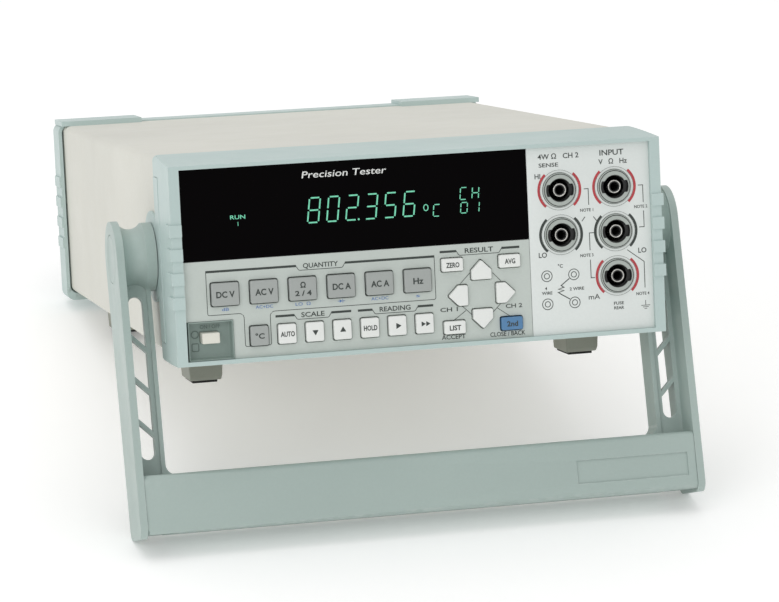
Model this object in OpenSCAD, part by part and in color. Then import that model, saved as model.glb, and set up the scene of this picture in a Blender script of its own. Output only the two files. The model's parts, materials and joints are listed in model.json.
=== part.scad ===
// Bench multimeter of half-rack width and two units' height, standing on its swing handle.
// Millimetres. The instrument is drawn square: X across, Y from the face back, and Z up from the
// underside of the bezel. stand() then tips it back onto its rear feet and its handle.

/* [Overall] */
// Width across the front bezel
bezel_w = 212; // [200:1:260]
// Height of the front bezel
bezel_h = 88; // [84:1:110]
// Depth from the face to the rear end of the sleeve
case_d = 312; // [260:1:380]
// Angle of the handle's catch, from straight down and forwards to the rear
swing = 11.5; // [5:0.5:25]

/* [Bezel] */
// Depth of the bezel from front to back
bezel_d = 37.5; // [30:0.5:45]
// Width of each side of the bezel, seen from the front
bezel_side = 4.4; // [3.5:0.1:6]
// Height of the bezel's lower bar, seen from the front
bezel_sill = 3.6; // [2.5:0.1:6]
// Height of the bezel's upper bar, seen from the front
bezel_head = 4.4; // [3:0.1:7]
// Fall of the bezel's top from its rear edge to the face
top_fall = 2.7; // [0:0.1:3]
// Rise of the bezel's underside from its rear edge to the face
sill_rise = 1.8; // [0:0.1:2.2]
// Radius of the bezel's long corners
bezel_r = 2.5; // [1:0.1:4]
// Height of one grip rib
rib_h = 5; // [3:0.5:7]
// Distance from one grip rib to the next
rib_pitch = 10.07; // [8:0.01:14]
// How far a grip rib stands proud
rib_t = 0.8; // [0.4:0.1:1.2]
// How far a grip rib runs back along the side
rib_run = 10; // [6:0.5:16]

/* [Front panels] */
// Depth of the panels' faces behind the face of the bezel
panel_y = 1.8; // [1:0.1:3]
// Thickness of the panels
panel_t = 2.5; // [1.5:0.1:3]
// Width of the jack panel
jack_panel_w = 54; // [48:0.5:60]
// Height of the display window
window_h = 38.4; // [30:0.1:40]
// Gap between one panel and the next
panel_gap = 0.15; // [0.1:0.05:0.4]

/* [Keys] */
// Width of a function key
fn_w = 11.5; // [9:0.1:13]
// Height of a function key
fn_h = 9.5; // [7:0.1:11]
// Width of a range key
rg_w = 7.5; // [6:0.1:8.5]
// Height of a range key
rg_h = 8.1; // [6:0.1:9.5]
// Width of a menu key
mn_w = 9.2; // [7:0.1:10]
// Height of a menu key
mn_h = 5.4; // [4:0.1:7]
// Half width of an arrow key
arrow_hw = 4.3; // [3.5:0.1:4.6]
// Distance from the pad's centre to the tip of an arrow key
arrow_tip = 14.6; // [13:0.1:15]
// Distance from the pad's centre to the flat base of an arrow key
arrow_base = 6.3; // [5.8:0.1:7]
// Width of the power button
power_w = 7.5; // [5:0.1:10]
// Height of the power button
power_h = 4.5; // [3:0.1:7]
// Travel of a key
key_travel = 1; // [0.5:0.1:1.5]
// Travel of the power button
power_travel = 2; // [1:0.1:3]
// Gap round a key in its hole
key_gap = 0.5; // [0.3:0.05:0.6]

/* [Jacks] */
// Bore of a jack contact, for a 4 mm plug
plug_bore = 4; // [4:0.1:4.2]
// Outer diameter of a jack contact
contact_d = 5.7; // [5.4:0.1:6.4]
// Diameter of the well round a jack contact
well_d = 9; // [8:0.1:10]
// Outer diameter of a jack's front ring
jack_ring_d = 14.6; // [13:0.1:16]
// Height from one jack to the next
jack_pitch_z = 19.05; // [17:0.05:20]
// Distance across from one jack to the next
jack_pitch_x = 24.2; // [20:0.1:26]

/* [Sleeve and rear frame] */
// Thickness of the sheet steel
sheet_t = 1.2; // [0.8:0.1:2]
// Corner radius of the sleeve
sleeve_r = 3; // [2:0.1:5]
// Depth of the rear frame behind the sleeve's end
rear_d = 12; // [8:0.5:18]
// How far the rear frame stands proud of the bezel's width on each side
rear_proud = 1.6; // [1:0.1:4]
// Height of the raised corner blocks above the sleeve
block_h = 2.4; // [1:0.1:5]
// Width of a raised corner block
block_w = 41; // [25:0.5:55]

/* [Feet] */
// Width of a foot
foot_w = 14; // [10:0.5:20]
// Length of a foot
foot_l = 22; // [16:0.5:30]
// Depth of a foot below the bezel's underside, without its pad
foot_drop = 12; // [9:0.1:14]
// Thickness of a rubber pad
pad_t = 1.2; // [0.8:0.1:3]
// Distance from the side of the bezel to the centre of a foot
foot_side = 21.5; // [14:0.5:45]
// Distance from the face to the front of the front feet
foot_y = 55; // [45:1:80]
// Distance from the sleeve's rear end to the back of the rear feet
foot_rear = 32; // [28:1:60]

/* [Handle] */
// Distance from the side of the bezel to the outer face of an arm
arm_reach = 18; // [15:0.5:30]
// Distance from the pivot to the foot of an arm
arm_len = 120; // [110:0.5:140]
// Radius of the round upper end of an arm
hub_r = 16; // [15:0.5:20]
// Distance from the arm's centre line to its front edge at the foot
arm_front = 18; // [16:0.5:20]
// Distance from the arm's centre line to its heel
heel_y = 11; // [8:0.5:16]
// Radius of the arm's lower corners
heel_r = 5; // [2:0.5:5]
// Thickness of an arm's outer wall
arm_t = 3.2; // [2.5:0.1:4]
// Height of the crossbar
bar_h = 25; // [20:0.5:32]
// How far an arm's end reaches past the crossbar
bar_lift = 1.5; // [0.5:0.1:4]
// Radius of the pivot journal
journal_r = 6; // [4:0.1:7.5]
// Radial running clearance on the pivot journal
journal_gap = 0.06; // [0.02:0.01:0.1]
// Distance from the face back to the pivot
pivot_y = 49; // [46:0.5:60]

/* [Hidden] */
$fn = 48;
clear = 0.3; // clearance between pieces that move past each other
seat_gap = 0.2; // clearance round a piece in its seat

// Bezel opening and sleeve
hw = bezel_w / 2;
open_hw = hw - bezel_side;
open_z0 = bezel_sill;
open_z1 = bezel_h - bezel_head;
ledge = 2; // width of the ledge that the panels seat on
ledge_t = 2;
ledge_y = panel_y + panel_t;
rib_n = 4;
rib_drop = 0.6; // the ribs' middle lies this far below the bezel's
sleeve_in = 1; // the sleeve lies this far inside the bezel's side
sleeve_rise = 0.2; // the sleeve's underside lies this far above the bezel's sill
sleeve_top_in = 1.5;
sleeve_lap = 5; // length of sleeve inside the bezel
sleeve_hw = hw - sleeve_in;
sleeve_z0 = open_z0 + sleeve_rise;
sleeve_z1 = bezel_h - sleeve_top_in;
sleeve_y = bezel_d - sleeve_lap;
in_hw = sleeve_hw - sheet_t;
in_z0 = sleeve_z0 + sheet_t;
in_z1 = sleeve_z1 - sheet_t;

// Front panels
split_x = open_hw - jack_panel_w;
window_z = open_z1 - window_h;

// Keys: places are measured from the opening's left edge, its sill and the jack panel
fn_n = 6;
rg_n = 7;
fn_side = 17.1;
fn_rise = 27.4;
fn_to_pad = 27.7;
rg_side = 30.8;
rg_rise = 9;
rg_to_pad = 25.5;
pad_side = 21.9;
pad_rise = 19.7;
mn_dx = 12.5;
mn_dz = 13.3;
fn_x = -open_hw + fn_side;
fn_z = open_z0 + fn_rise;
rg_x = -open_hw + rg_side;
rg_z = open_z0 + rg_rise;
pad_x = split_x - pad_side;
pad_z = open_z0 + pad_rise;
fn_pitch = (pad_x - fn_to_pad - fn_x) / (fn_n - 1);
rg_pitch = (pad_x - rg_to_pad - rg_x) / (rg_n - 1);
key_proud = 1.8;
key_face_y = panel_y - key_proud;
key_flange = 0.8;
key_flange_t = 1;
key_stem = 4.4; // from the flange to the stem's end
key_flange_y = ledge_y + clear;
key_end_y = key_flange_y + key_stem;
stem_drop = 1; // an arrow key's stem lies this far inside its middle
arrow_stem = (arrow_tip + arrow_base) / 2 - stem_drop;

// Rubber mat with a dome behind each key, and the board that it lies on
mat_t = 1.5;
mat_dome_r = 1.9;
mat_dome_h = 2.6;
mat_top_y = key_end_y + key_travel + clear;
mat_y = mat_top_y + mat_dome_h;
board_t = 1.6;
fboard_y = mat_y + mat_t;

// Power button and its surround
power_side = 10.3;
power_rise = 9.4;
power_x = -open_hw + power_side;
power_z = open_z0 + power_rise;
power_face_y = 0.6;
power_shank = 1; // length of the button's shank past the dish at full travel
power_stem_r = 1.5;
power_stem_y = 24;
dish_w = 19.2;
dish_h = 15.5;
dish_side = 0.8;
dish_rise = 0.9;
dish_x0 = -open_hw + dish_side;
dish_x1 = dish_x0 + dish_w;
dish_z0 = open_z0 + dish_rise;
dish_z1 = dish_z0 + dish_h;
dish_rim = 1.2;
dish_rim_proud = 0.6;
dish_floor_y = 6.2;
dish_floor_t = 1.2;

// Jacks
jack_side = 15.8;
jack_fall = 18.5;
jack_x1 = open_hw - jack_side;
jack_x0 = jack_x1 - jack_pitch_x;
jack_z2 = open_z1 - jack_fall;
JACKS = [[jack_x0, jack_z2], [jack_x1, jack_z2], [jack_x0, jack_z2 - jack_pitch_z],
         [jack_x1, jack_z2 - jack_pitch_z], [jack_x1, jack_z2 - 2 * jack_pitch_z]];
jack_body_r = 6.2;
jack_body_d = 26;
jack_floor_t = 4;
jack_proud = 1.4;
contact_proud = 0.6;
contact_l = 32;

// Display tube
tube_gap = 1.2;
tube_d = 6.4;
tube_side = 40;
tube_to_split = 14;
tube_rim = 6;
tube_pin_r = 0.5;
tube_pin_pitch = 6;
tube_y = ledge_y + tube_gap;

// Tray, boards and rear panel
tray_z = in_z0;
tray_t = 1.2;
tray_hw = in_hw - 2;
post_r = 3;
post_h = 2.6;
post_in = 6;
board_in = 6;
board_ends = 24; // from each end of the case to the main board
board_z = tray_z + tray_t + post_h;
board_top = board_z + board_t;
board_hw = tray_hw - board_in;
board_y0 = board_ends;
board_y1 = case_d - board_ends;
rear_in = 6; // the rear panel lies this far inside the sleeve's end
rear_y = case_d - rear_in;
rear_t = 2;
rear_gap = 0.2;
hole_l = 6; // cutting length through the rear panel

// What stands on the main board
core_w = 52;
core_l = 52;
core_h = 34;
coil_in = 10;
coil_over = 12;
coil_under = 9;
coil_h = 44;
core_x = 8;
core_y1 = board_y1 - 22;
can_x = [-62, 30];
can_y = [70, 150];
can_h = 24;
can_t = 1;
cap_n = 3;
cap_body_r = 9.5;
cap_body_h = 34;
cap_pitch = 26;
cap_x = -70;
cap_back = 30;
relay_n = 4;
relay_size = [22, 12, 11];
relay_pitch = 18;
relay_x = 44;
relay_y = 72;
switch_hw = 5;
switch_l = 24;
switch_h = 8;
ribbon_x = -40;
ribbon_w = 50;
ribbon_t = 1;
ribbon_reach = 12;
ribbon_rise = 34;

// Rear connectors
inlet_x = -66;
inlet_drop = 6;
inlet_z = bezel_h / 2 - inlet_drop;
inlet_w = 28;
inlet_h = 20;
inlet_d = 20;
inlet_ear = 8;
inlet_rim = 1.5;
inlet_flange_t = 3;
inlet_hole_hw = 12;
inlet_hole_hh = 8;
inlet_hole_d = 16;
pin_pitch = 7;
pin_t = 2;
pin_h = 4;
pin_low = -6; // underside of the outer pins, from the inlet's middle
pin_step = 4; // rise of the middle pin
fuse_x = [-30, -10];
fuse_z = 26;
fuse_r = 6;
fuse_d = 30;
bus_x = 30;
bus_z = 24;
bus_hw = 16;
bus_hh = 5;
bnc_x = [62, 84];
bnc_z = 24;
bnc_r = 5;
rear_jack_fall = 20;
rear_jack_x = [60, 60 + jack_pitch_x];
rear_jack_z = [bezel_h - rear_jack_fall, bezel_h - rear_jack_fall - jack_pitch_z];

// Rear frame
frame_y = rear_y;
frame_end = case_d + rear_d;
frame_hw = hw + rear_proud;
frame_z0 = -0.5;
frame_r = 4;
frame_bar = 8;
frame_land = 18;
frame_lip = 0.6; // the frame stands this far above the sleeve
frame_top = sleeve_z1 + frame_lip;
block_top = sleeve_z1 + block_h;
frame_relief = 0.9; // width of the shadow gap round the sleeve
frame_relief_d = 3;
block_lap = 6; // the blocks reach this far forward over the sleeve
screw_in = 11;
screw_r = 2;
screw_head_r = 4;
screw_head_t = 2.6;
screw_sink = 4;
screw_x = frame_hw - screw_in;
screw_z = [frame_z0 + screw_in, bezel_h - screw_in];

// Side brackets and pivot
bracket_y = 27.5; // front edge of a side bracket
bracket_in = 9;
bracket_t = 1.2;
bracket_r = 19.5;
bracket_neck = 12; // half height of the strap between the plate and the boss
boss_r = 11.5;
bracket_z0 = bracket_in;
bracket_z1 = bezel_h - bracket_in;
pivot_z = bezel_h / 2;
pivot_screw_r = 2;
lug_x = hw - 8;
lug_t = 1.6;
lug_front = 11;
lug_back = 14;

// Handle
arm_hw = hw + arm_reach;
hub_gap = 0.55;
hub_in_x = hw + hub_gap; // inner face of the hub
arm_in_x = arm_hw - arm_t;
disc_in = 1.3;
disc_r = hub_r - disc_in;
disc_t = 4;
neck_r = 12.3;
groove_land = 0.3; // narrow land at each end of the neck
flange_gap = 2.9;
flange_x = hw + flange_gap; // inner face of the arm's inner flange
flange_t = 1.8;
web_y = -3;
web_t = 4;
seat_x = arm_in_x - 2.5; // where the pivot screw's head bears
cap_r = 10.5;
cap_t = 1.8;
head_r = 8.5;
head_t = 1.6;
slot_w = 6.2;
slot_n = 4;
slot_pitch = 18;
slot_top = -17;
slot_len = 15.5;
bar_z0 = -arm_len + bar_lift;
bar_z1 = bar_z0 + bar_h;
bar_t = 3;
bar_in = 0.6;
bar_back_in = 2;
bar_y = -arm_front + bar_in;
bar_back = heel_y - bar_back_in;
bar_hw = arm_in_x - 0.1;
bar_rib_n = 5;
bar_rib_t = 2;
bar_rib_in = 4;
bar_screw_x = (flange_x + flange_t + arm_in_x) / 2;
bar_screw_in = 7;
bar_screw_z = [bar_z0 + bar_screw_in, bar_z1 - bar_screw_in];
bar_screw_r = 1.4;
bar_boss_r = 3.4;
recess_l = 50;
recess_h = 10;
recess_t = 0.6;
recess_side = 3.6;
recess_rise = 6;
fillet = 4.5;

// Stance: the floor passes under the rear feet's back edges and touches the handle's heels
foot_x = hw - foot_side;
foot_back_y = case_d - foot_rear;
foot_z = -foot_drop - pad_t;
heel_at = [pivot_y + (heel_y - heel_r) * cos(swing) - (arm_len - heel_r) * sin(swing),
           pivot_z - (heel_y - heel_r) * sin(swing) - (arm_len - heel_r) * cos(swing)];
stride = [foot_back_y - heel_at[0], foot_z - heel_at[1]];
stand_tilt = atan2(stride[1], stride[0]) + asin(heel_r / norm(stride));
floor_z = foot_back_y * sin(stand_tilt) - foot_z * cos(stand_tilt);
lean = stand_tilt + swing;
toe_y = pivot_y * cos(stand_tilt) + pivot_z * sin(stand_tilt)
    + min((heel_r - arm_front) * cos(lean) + (heel_r - arm_len) * sin(lean) - heel_r,
        bar_y * cos(lean) + bar_z0 * sin(lean));
tail_y = frame_end * cos(stand_tilt) + block_top * sin(stand_tilt);
middle_y = (toe_y + tail_y) / 2;

// Placing

module stand() {
    translate([0, -middle_y, floor_z]) rotate([-stand_tilt, 0, 0]) children();
}

module on_handle() {
    stand() translate([0, pivot_y, pivot_z]) rotate([-swing, 0, 0]) children();
}

module along_x(length) {
    rotate([90, 0, 90]) linear_extrude(length) children();
}

module along_y(length) {
    translate([0, length, 0]) rotate([90, 0, 0]) linear_extrude(length) children();
}

// A cylinder that runs back along Y from the plane at y
module peg(x, y, z, r, length) {
    translate([x, y, z]) rotate([-90, 0, 0]) cylinder(r = r, h = length);
}

module on_both_sides() {
    children();
    mirror([1, 0, 0]) children();
}

// Outlines

module rounded(x0, z0, x1, z1, r) {
    translate([x0 + r, z0]) square([x1 - x0 - 2 * r, z1 - z0]);
    translate([x0, z0 + r]) square([x1 - x0, z1 - z0 - 2 * r]);
    for (x = [x0 + r, x1 - r]) {
        for (z = [z0 + r, z1 - r]) {
            translate([x, z]) circle(r);
        }
    }
}

module box(x0, y0, z0, x1, y1, z1) {
    translate([x0, y0, z0]) cube([x1 - x0, y1 - y0, z1 - z0]);
}

// An arrow key's outline, pointing up from the pad's centre, grown by g
module house(g) {
    shoulder = arrow_tip - arrow_hw;
    polygon([[-arrow_hw - g, arrow_base - g], [arrow_hw + g, arrow_base - g],
        [arrow_hw + g, shoulder + g * 0.4], [0, arrow_tip + g * 1.4], [-arrow_hw - g, shoulder + g * 0.4]]);
}

// Keys: each is a cap, a flange behind the panel and a stem that meets its dome

module stem_end(x, z) {
    peg(x, key_flange_y, z, mat_dome_r, key_end_y - key_flange_y);
}

module square_key(x, z, w, h) {
    box(x - w / 2, key_face_y, z - h / 2, x + w / 2, key_flange_y + key_flange_t, z + h / 2);
    box(x - w / 2 - key_flange, key_flange_y, z - h / 2 - key_flange,
        x + w / 2 + key_flange, key_flange_y + key_flange_t, z + h / 2 + key_flange);
    stem_end(x, z);
}

module arrow_key(turn) {
    translate([pad_x, 0, pad_z]) rotate([0, turn, 0]) {
        translate([0, key_face_y, 0]) along_y(key_flange_y + key_flange_t - key_face_y) house(0);
        translate([0, key_flange_y, 0]) along_y(key_flange_t) house(key_flange);
        stem_end(0, arrow_stem);
    }
}

function fn_at(i) = fn_x + i * fn_pitch;
function rg_at(i) = rg_x + i * rg_pitch;

module function_key(i) {
    color("darkgray") stand() square_key(fn_at(i), fn_z, fn_w, fn_h);
}

module range_key(i, tint = "white") {
    color(tint) stand() square_key(rg_at(i), rg_z, rg_w, rg_h);
}

module menu_key(sx, sz, tint = "white") {
    color(tint) stand() square_key(pad_x + sx * mn_dx, pad_z + sz * mn_dz, mn_w, mn_h);
}

module pad_key(turn) {
    color("white") stand() arrow_key(turn);
}

module key_power() {
    color("ivory") stand() {
        shank_y = dish_floor_y + dish_floor_t + power_travel + clear + power_shank;
        box(power_x - power_w / 2, power_face_y, power_z - power_h / 2,
            power_x + power_w / 2, shank_y, power_z + power_h / 2);
        peg(power_x, shank_y - 1, power_z, power_stem_r, power_stem_y - shank_y + 1);
    }
}

// Every key's place on the mat
MAT_POINTS = concat(
    [for (i = [0 : fn_n - 1]) [fn_at(i), fn_z]],
    [for (i = [0 : rg_n - 1]) [rg_at(i), rg_z]],
    [for (sx = [-1, 1]) for (sz = [-1, 1]) [pad_x + sx * mn_dx, pad_z + sz * mn_dz]],
    [for (a = [0 : 90 : 270]) [pad_x + arrow_stem * sin(a), pad_z + arrow_stem * cos(a)]]);

module key_holes() {
    g = key_gap;
    for (i = [0 : fn_n - 1]) {
        translate([fn_at(i) - fn_w / 2 - g, fn_z - fn_h / 2 - g]) square([fn_w + 2 * g, fn_h + 2 * g]);
    }
    for (i = [0 : rg_n - 1]) {
        translate([rg_at(i) - rg_w / 2 - g, rg_z - rg_h / 2 - g]) square([rg_w + 2 * g, rg_h + 2 * g]);
    }
    for (sx = [-1, 1]) {
        for (sz = [-1, 1]) {
            translate([pad_x + sx * mn_dx - mn_w / 2 - g, pad_z + sz * mn_dz - mn_h / 2 - g])
                square([mn_w + 2 * g, mn_h + 2 * g]);
        }
    }
    for (a = [0 : 90 : 270]) {
        translate([pad_x, pad_z]) rotate(a) house(g);
    }
}

// Front

module grip_ribs(y0, y1, half, face) {
    for (i = [-(rib_n - 1) / 2 : (rib_n - 1) / 2]) {
        z = bezel_h / 2 - rib_drop + i * rib_pitch;
        box(half - face, y0, z - rib_h / 2, half + rib_t, y1, z + rib_h / 2);
    }
}

module front_bezel() {
    color("lightblue") stand() difference() {
        union() {
            intersection() {
                along_y(bezel_d) rounded(-hw, 0, hw, bezel_h, bezel_r);
                translate([-hw, 0, 0]) along_x(bezel_w)
                    polygon([[0, sill_rise], [bezel_d, 0], [bezel_d, bezel_h], [0, bezel_h - top_fall]]);
            }
            on_both_sides() grip_ribs(-rib_t, rib_run, hw, bezel_side);
        }
        // opening, with the ledge left standing
        box(-open_hw, -2, open_z0, open_hw, ledge_y, open_z1);
        box(-open_hw + ledge, ledge_y - 1, open_z0 + ledge, open_hw - ledge, ledge_y + ledge_t + 1,
            open_z1 - ledge);
        box(-open_hw, ledge_y + ledge_t, sleeve_z0, open_hw, bezel_d + 1, open_z1);
        // rebate for the sleeve
        translate([0, sleeve_y, 0]) along_y(bezel_d)
            rounded(-sleeve_hw, sleeve_z0, sleeve_hw, sleeve_z1, sleeve_r);
        // seats for the side brackets
        on_both_sides() box(sleeve_hw, bracket_y - seat_gap, bracket_z0 - seat_gap, hw + 2, bezel_d + 1,
            bracket_z1 + seat_gap);
        // way through the ledge for the power surround
        box(-open_hw, ledge_y - 1, open_z0, dish_x1, ledge_y + ledge_t + 1, dish_z1);
    }
}

module key_panel() {
    color("gainsboro") stand() difference() {
        box(-open_hw, panel_y, open_z0, split_x - panel_gap, ledge_y, window_z - panel_gap);
        translate([0, panel_y - 1, 0]) along_y(panel_t + 2) key_holes();
        box(dish_x0, panel_y - 1, dish_z0, dish_x1, ledge_y + 1, dish_z1);
    }
}

module display_window() {
    color("black") stand() box(-open_hw, panel_y, window_z, split_x - panel_gap, ledge_y, open_z1);
}

module jack_panel() {
    color("whitesmoke") stand() difference() {
        box(split_x, panel_y, open_z0, open_hw, ledge_y, open_z1);
        for (j = JACKS) {
            peg(j[0], panel_y - 1, j[1], jack_body_r, panel_t + 2);
        }
    }
}

module power_surround() {
    color("lightblue") stand() difference() {
        box(dish_x0, panel_y - dish_rim_proud, dish_z0, dish_x1, dish_floor_y + dish_floor_t, dish_z1);
        box(dish_x0 + dish_rim, -1, dish_z0 + dish_rim, dish_x1 - dish_rim, dish_floor_y, dish_z1 - dish_rim);
        box(power_x - power_w / 2 - key_gap, 0, power_z - power_h / 2 - key_gap,
            power_x + power_w / 2 + key_gap, dish_floor_y + dish_floor_t + 1, power_z + power_h / 2 + key_gap);
    }
}

// A jack's insulating shroud, facing -Y, its ring seated on the plane at y = 0
module shroud(x, z) {
    translate([x, 0, z]) rotate([-90, 0, 0]) difference() {
        union() {
            translate([0, 0, -jack_proud]) cylinder(r = jack_ring_d / 2, h = jack_proud);
            translate([0, 0, -jack_proud]) cylinder(r = jack_body_r, h = jack_body_d + jack_proud);
        }
        translate([0, 0, -jack_proud - 1])
            cylinder(r = well_d / 2, h = jack_body_d - jack_floor_t + jack_proud + 1);
        cylinder(r = contact_d / 2, h = jack_body_d + 1);
    }
}

module contact(x, z) {
    difference() {
        peg(x, -contact_proud, z, contact_d / 2, contact_l);
        peg(x, -contact_proud - 1, z, plug_bore / 2, jack_body_d - jack_floor_t + contact_proud + 1);
    }
}

module jack_shrouds() {
    color("dimgray") stand() translate([0, panel_y, 0]) {
        for (j = JACKS) {
            shroud(j[0], j[1]);
        }
    }
}

module jack_contacts() {
    color("gold") stand() translate([0, panel_y, 0]) {
        for (j = JACKS) {
            contact(j[0], j[1]);
        }
    }
}

// Inside

module display_tube() {
    x0 = -open_hw + tube_side;
    x1 = split_x - tube_to_split;
    color("darkslategray") stand() {
        box(x0, tube_y, window_z + tube_rim, x1, tube_y + tube_d, open_z1 - tube_rim);
        // pins to the board
        for (x = [x0 + 5 : tube_pin_pitch : x1 - 5]) {
            peg(x, tube_y + tube_d, window_z + tube_rim + 2, tube_pin_r, fboard_y - tube_y - tube_d);
        }
    }
}

module front_board() {
    color("green") stand() difference() {
        box(-open_hw + 3, fboard_y, board_top + 1, split_x - 1, fboard_y + board_t, open_z1 - 3);
        box(power_x - 4, fboard_y - 1, 0, power_x + 4, fboard_y + 5, power_z + 4);
    }
}

module key_mat() {
    color("gray") stand() difference() {
        union() {
            box(-open_hw + 3, mat_y, board_top + 1, split_x - 1, mat_y + mat_t, window_z - 1);
            for (p = MAT_POINTS) {
                peg(p[0], mat_top_y, p[1], mat_dome_r, mat_y - mat_top_y + 0.5);
            }
            box(rg_x - 4, mat_y, rg_z - 5, split_x - 1, mat_y + mat_t, board_top + 2);
        }
        box(power_x - 4, mat_y - 1, 0, power_x + 4, mat_y + 5, power_z + 4);
    }
}

module chassis_tray() {
    color("silver") stand() {
        box(-tray_hw, bezel_d + 2, tray_z, tray_hw, rear_y - rear_t, tray_z + tray_t);
        box(-board_hw - 3, board_y0 - board_in, tray_z, board_hw + 3, bezel_d + 2, tray_z + tray_t);
        // side lugs that take the handle brackets
        on_both_sides() difference() {
            box(lug_x - lug_t, pivot_y - lug_front, tray_z, lug_x, pivot_y + lug_back, pivot_z + lug_back);
            translate([lug_x - 5, pivot_y, pivot_z]) rotate([0, 90, 0]) cylinder(r = pivot_screw_r, h = 10);
        }
        // board posts
        for (x = [-board_hw + post_in, board_hw - post_in]) {
            for (y = [board_y0 + post_in, (board_y0 + board_y1) / 2, board_y1 - post_in]) {
                translate([x, y, tray_z + tray_t]) cylinder(r = post_r, h = post_h);
            }
        }
    }
}

module main_board() {
    color("green") stand() box(-board_hw, board_y0, board_z, board_hw, board_y1, board_top);
}

module transformer() {
    color("dimgray") stand() {
        box(core_x, core_y1 - core_l, board_top, core_x + core_w, core_y1, board_top + core_h);
        box(core_x + coil_in, core_y1 - core_l - coil_over, board_top + 4,
            core_x + core_w - coil_in, core_y1 + coil_under, board_top + coil_h);
    }
}

module shield_can() {
    color("silver") stand() difference() {
        box(can_x[0], can_y[0], board_top, can_x[1], can_y[1], board_top + can_h);
        box(can_x[0] + can_t, can_y[0] + can_t, board_top - 1, can_x[1] - can_t, can_y[1] - can_t,
            board_top + can_h - can_t);
    }
}

module capacitors() {
    color("black") stand() {
        for (i = [0 : cap_n - 1]) {
            translate([cap_x + i * cap_pitch, board_y1 - cap_back, board_top])
                cylinder(r = cap_body_r, h = cap_body_h);
        }
    }
}

module relays() {
    color("ivory") stand() {
        for (i = [0 : relay_n - 1]) {
            translate([relay_x, relay_y + i * relay_pitch, board_top]) cube(relay_size);
        }
    }
}

module power_switch() {
    y0 = power_stem_y + power_travel + clear;
    color("black") stand()
        box(power_x - switch_hw, y0, board_top, power_x + switch_hw, y0 + switch_l, board_top + switch_h);
}

module ribbon_cable() {
    z0 = open_z0 + ribbon_rise;
    y0 = fboard_y + board_t;
    y1 = y0 + ribbon_reach;
    color("lightgray") stand() translate([ribbon_x, 0, 0]) along_x(ribbon_w) polygon([
        [y0, z0], [y1, z0], [y1, board_top], [y1 - ribbon_t, board_top],
        [y1 - ribbon_t, z0 - ribbon_t], [y0, z0 - ribbon_t]]);
}

// Sleeve, rear panel and frame

module case_sleeve() {
    color("beige") stand() difference() {
        translate([0, sleeve_y, 0]) along_y(case_d - sleeve_y)
            rounded(-sleeve_hw, sleeve_z0, sleeve_hw, sleeve_z1, sleeve_r);
        translate([0, sleeve_y - 1, 0]) along_y(case_d + 2 - sleeve_y)
            rounded(-in_hw, in_z0, in_hw, in_z1, sleeve_r - sheet_t);
        translate([-hw, pivot_y, pivot_z]) rotate([0, 90, 0]) cylinder(r = boss_r + clear, h = bezel_w);
    }
}

module rear_panel() {
    color("silver") stand() difference() {
        translate([0, rear_y - rear_t, 0]) along_y(rear_t)
            rounded(-in_hw + rear_gap, in_z0 + rear_gap, in_hw - rear_gap, in_z1 - rear_gap,
                sleeve_r - sheet_t);
        box(inlet_x - inlet_w / 2, rear_y - 5, inlet_z - inlet_h / 2, inlet_x + inlet_w / 2, rear_y + 1,
            inlet_z + inlet_h / 2);
        for (x = fuse_x) {
            peg(x, rear_y - 5, fuse_z, fuse_r, hole_l);
        }
        for (x = bnc_x) {
            peg(x, rear_y - 5, bnc_z, bnc_r, hole_l);
        }
        for (x = rear_jack_x) {
            for (z = rear_jack_z) {
                peg(x, rear_y - 5, z, jack_body_r, hole_l);
            }
        }
        box(bus_x - bus_hw, rear_y - 5, bus_z - bus_hh, bus_x + bus_hw, rear_y + 1, bus_z + bus_hh);
        for (x = [-screw_x, screw_x]) {
            for (z = screw_z) {
                peg(x, rear_y - 5, z, screw_r, hole_l);
            }
        }
    }
}

module rear_frame() {
    color("lightblue") stand() difference() {
        union() {
            translate([0, frame_y, 0]) along_y(frame_end - frame_y)
                rounded(-frame_hw, frame_z0, frame_hw, frame_top, frame_r);
            // raised blocks that reach forward over the sleeve
            on_both_sides() box(frame_hw - block_w, frame_y - block_lap, sleeve_z1, frame_hw - 1, frame_end,
                block_top);
            on_both_sides() grip_ribs(frame_y, frame_end - 2, frame_hw, 1);
        }
        // rebate for the sleeve's end
        translate([0, frame_y - block_lap - 2, 0]) along_y(case_d - frame_y + block_lap + 2)
            rounded(-sleeve_hw, sleeve_z0, sleeve_hw, sleeve_z1, sleeve_r);
        // shadow gap round the sleeve
        translate([0, frame_y - 1, 0]) along_y(frame_relief_d + 1)
            rounded(-sleeve_hw - frame_relief, sleeve_z0 - frame_relief, sleeve_hw + frame_relief, sleeve_z1,
                sleeve_r + frame_relief);
        // window onto the rear panel, with corner lands for the screws
        box(-frame_hw + frame_land, frame_y, frame_z0 + frame_bar, frame_hw - frame_land, frame_end + 1,
            bezel_h - frame_bar);
        box(-frame_hw + frame_bar, frame_y, frame_z0 + frame_land, frame_hw - frame_bar, frame_end + 1,
            bezel_h - frame_land);
        for (x = [-screw_x, screw_x]) {
            for (z = screw_z) {
                peg(x, frame_y, z, screw_r + seat_gap, frame_end - frame_y);
                peg(x, frame_end - screw_sink, z, screw_head_r + 2 * seat_gap, screw_sink + 2);
            }
        }
    }
}

module rear_frame_screws() {
    color("silver") stand() {
        for (x = [-screw_x, screw_x]) {
            for (z = screw_z) {
                peg(x, frame_end - screw_sink, z, screw_head_r, screw_head_t);
                peg(x, rear_y - 8, z, screw_r, frame_end - screw_sink - rear_y + 8);
            }
        }
    }
}

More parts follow.
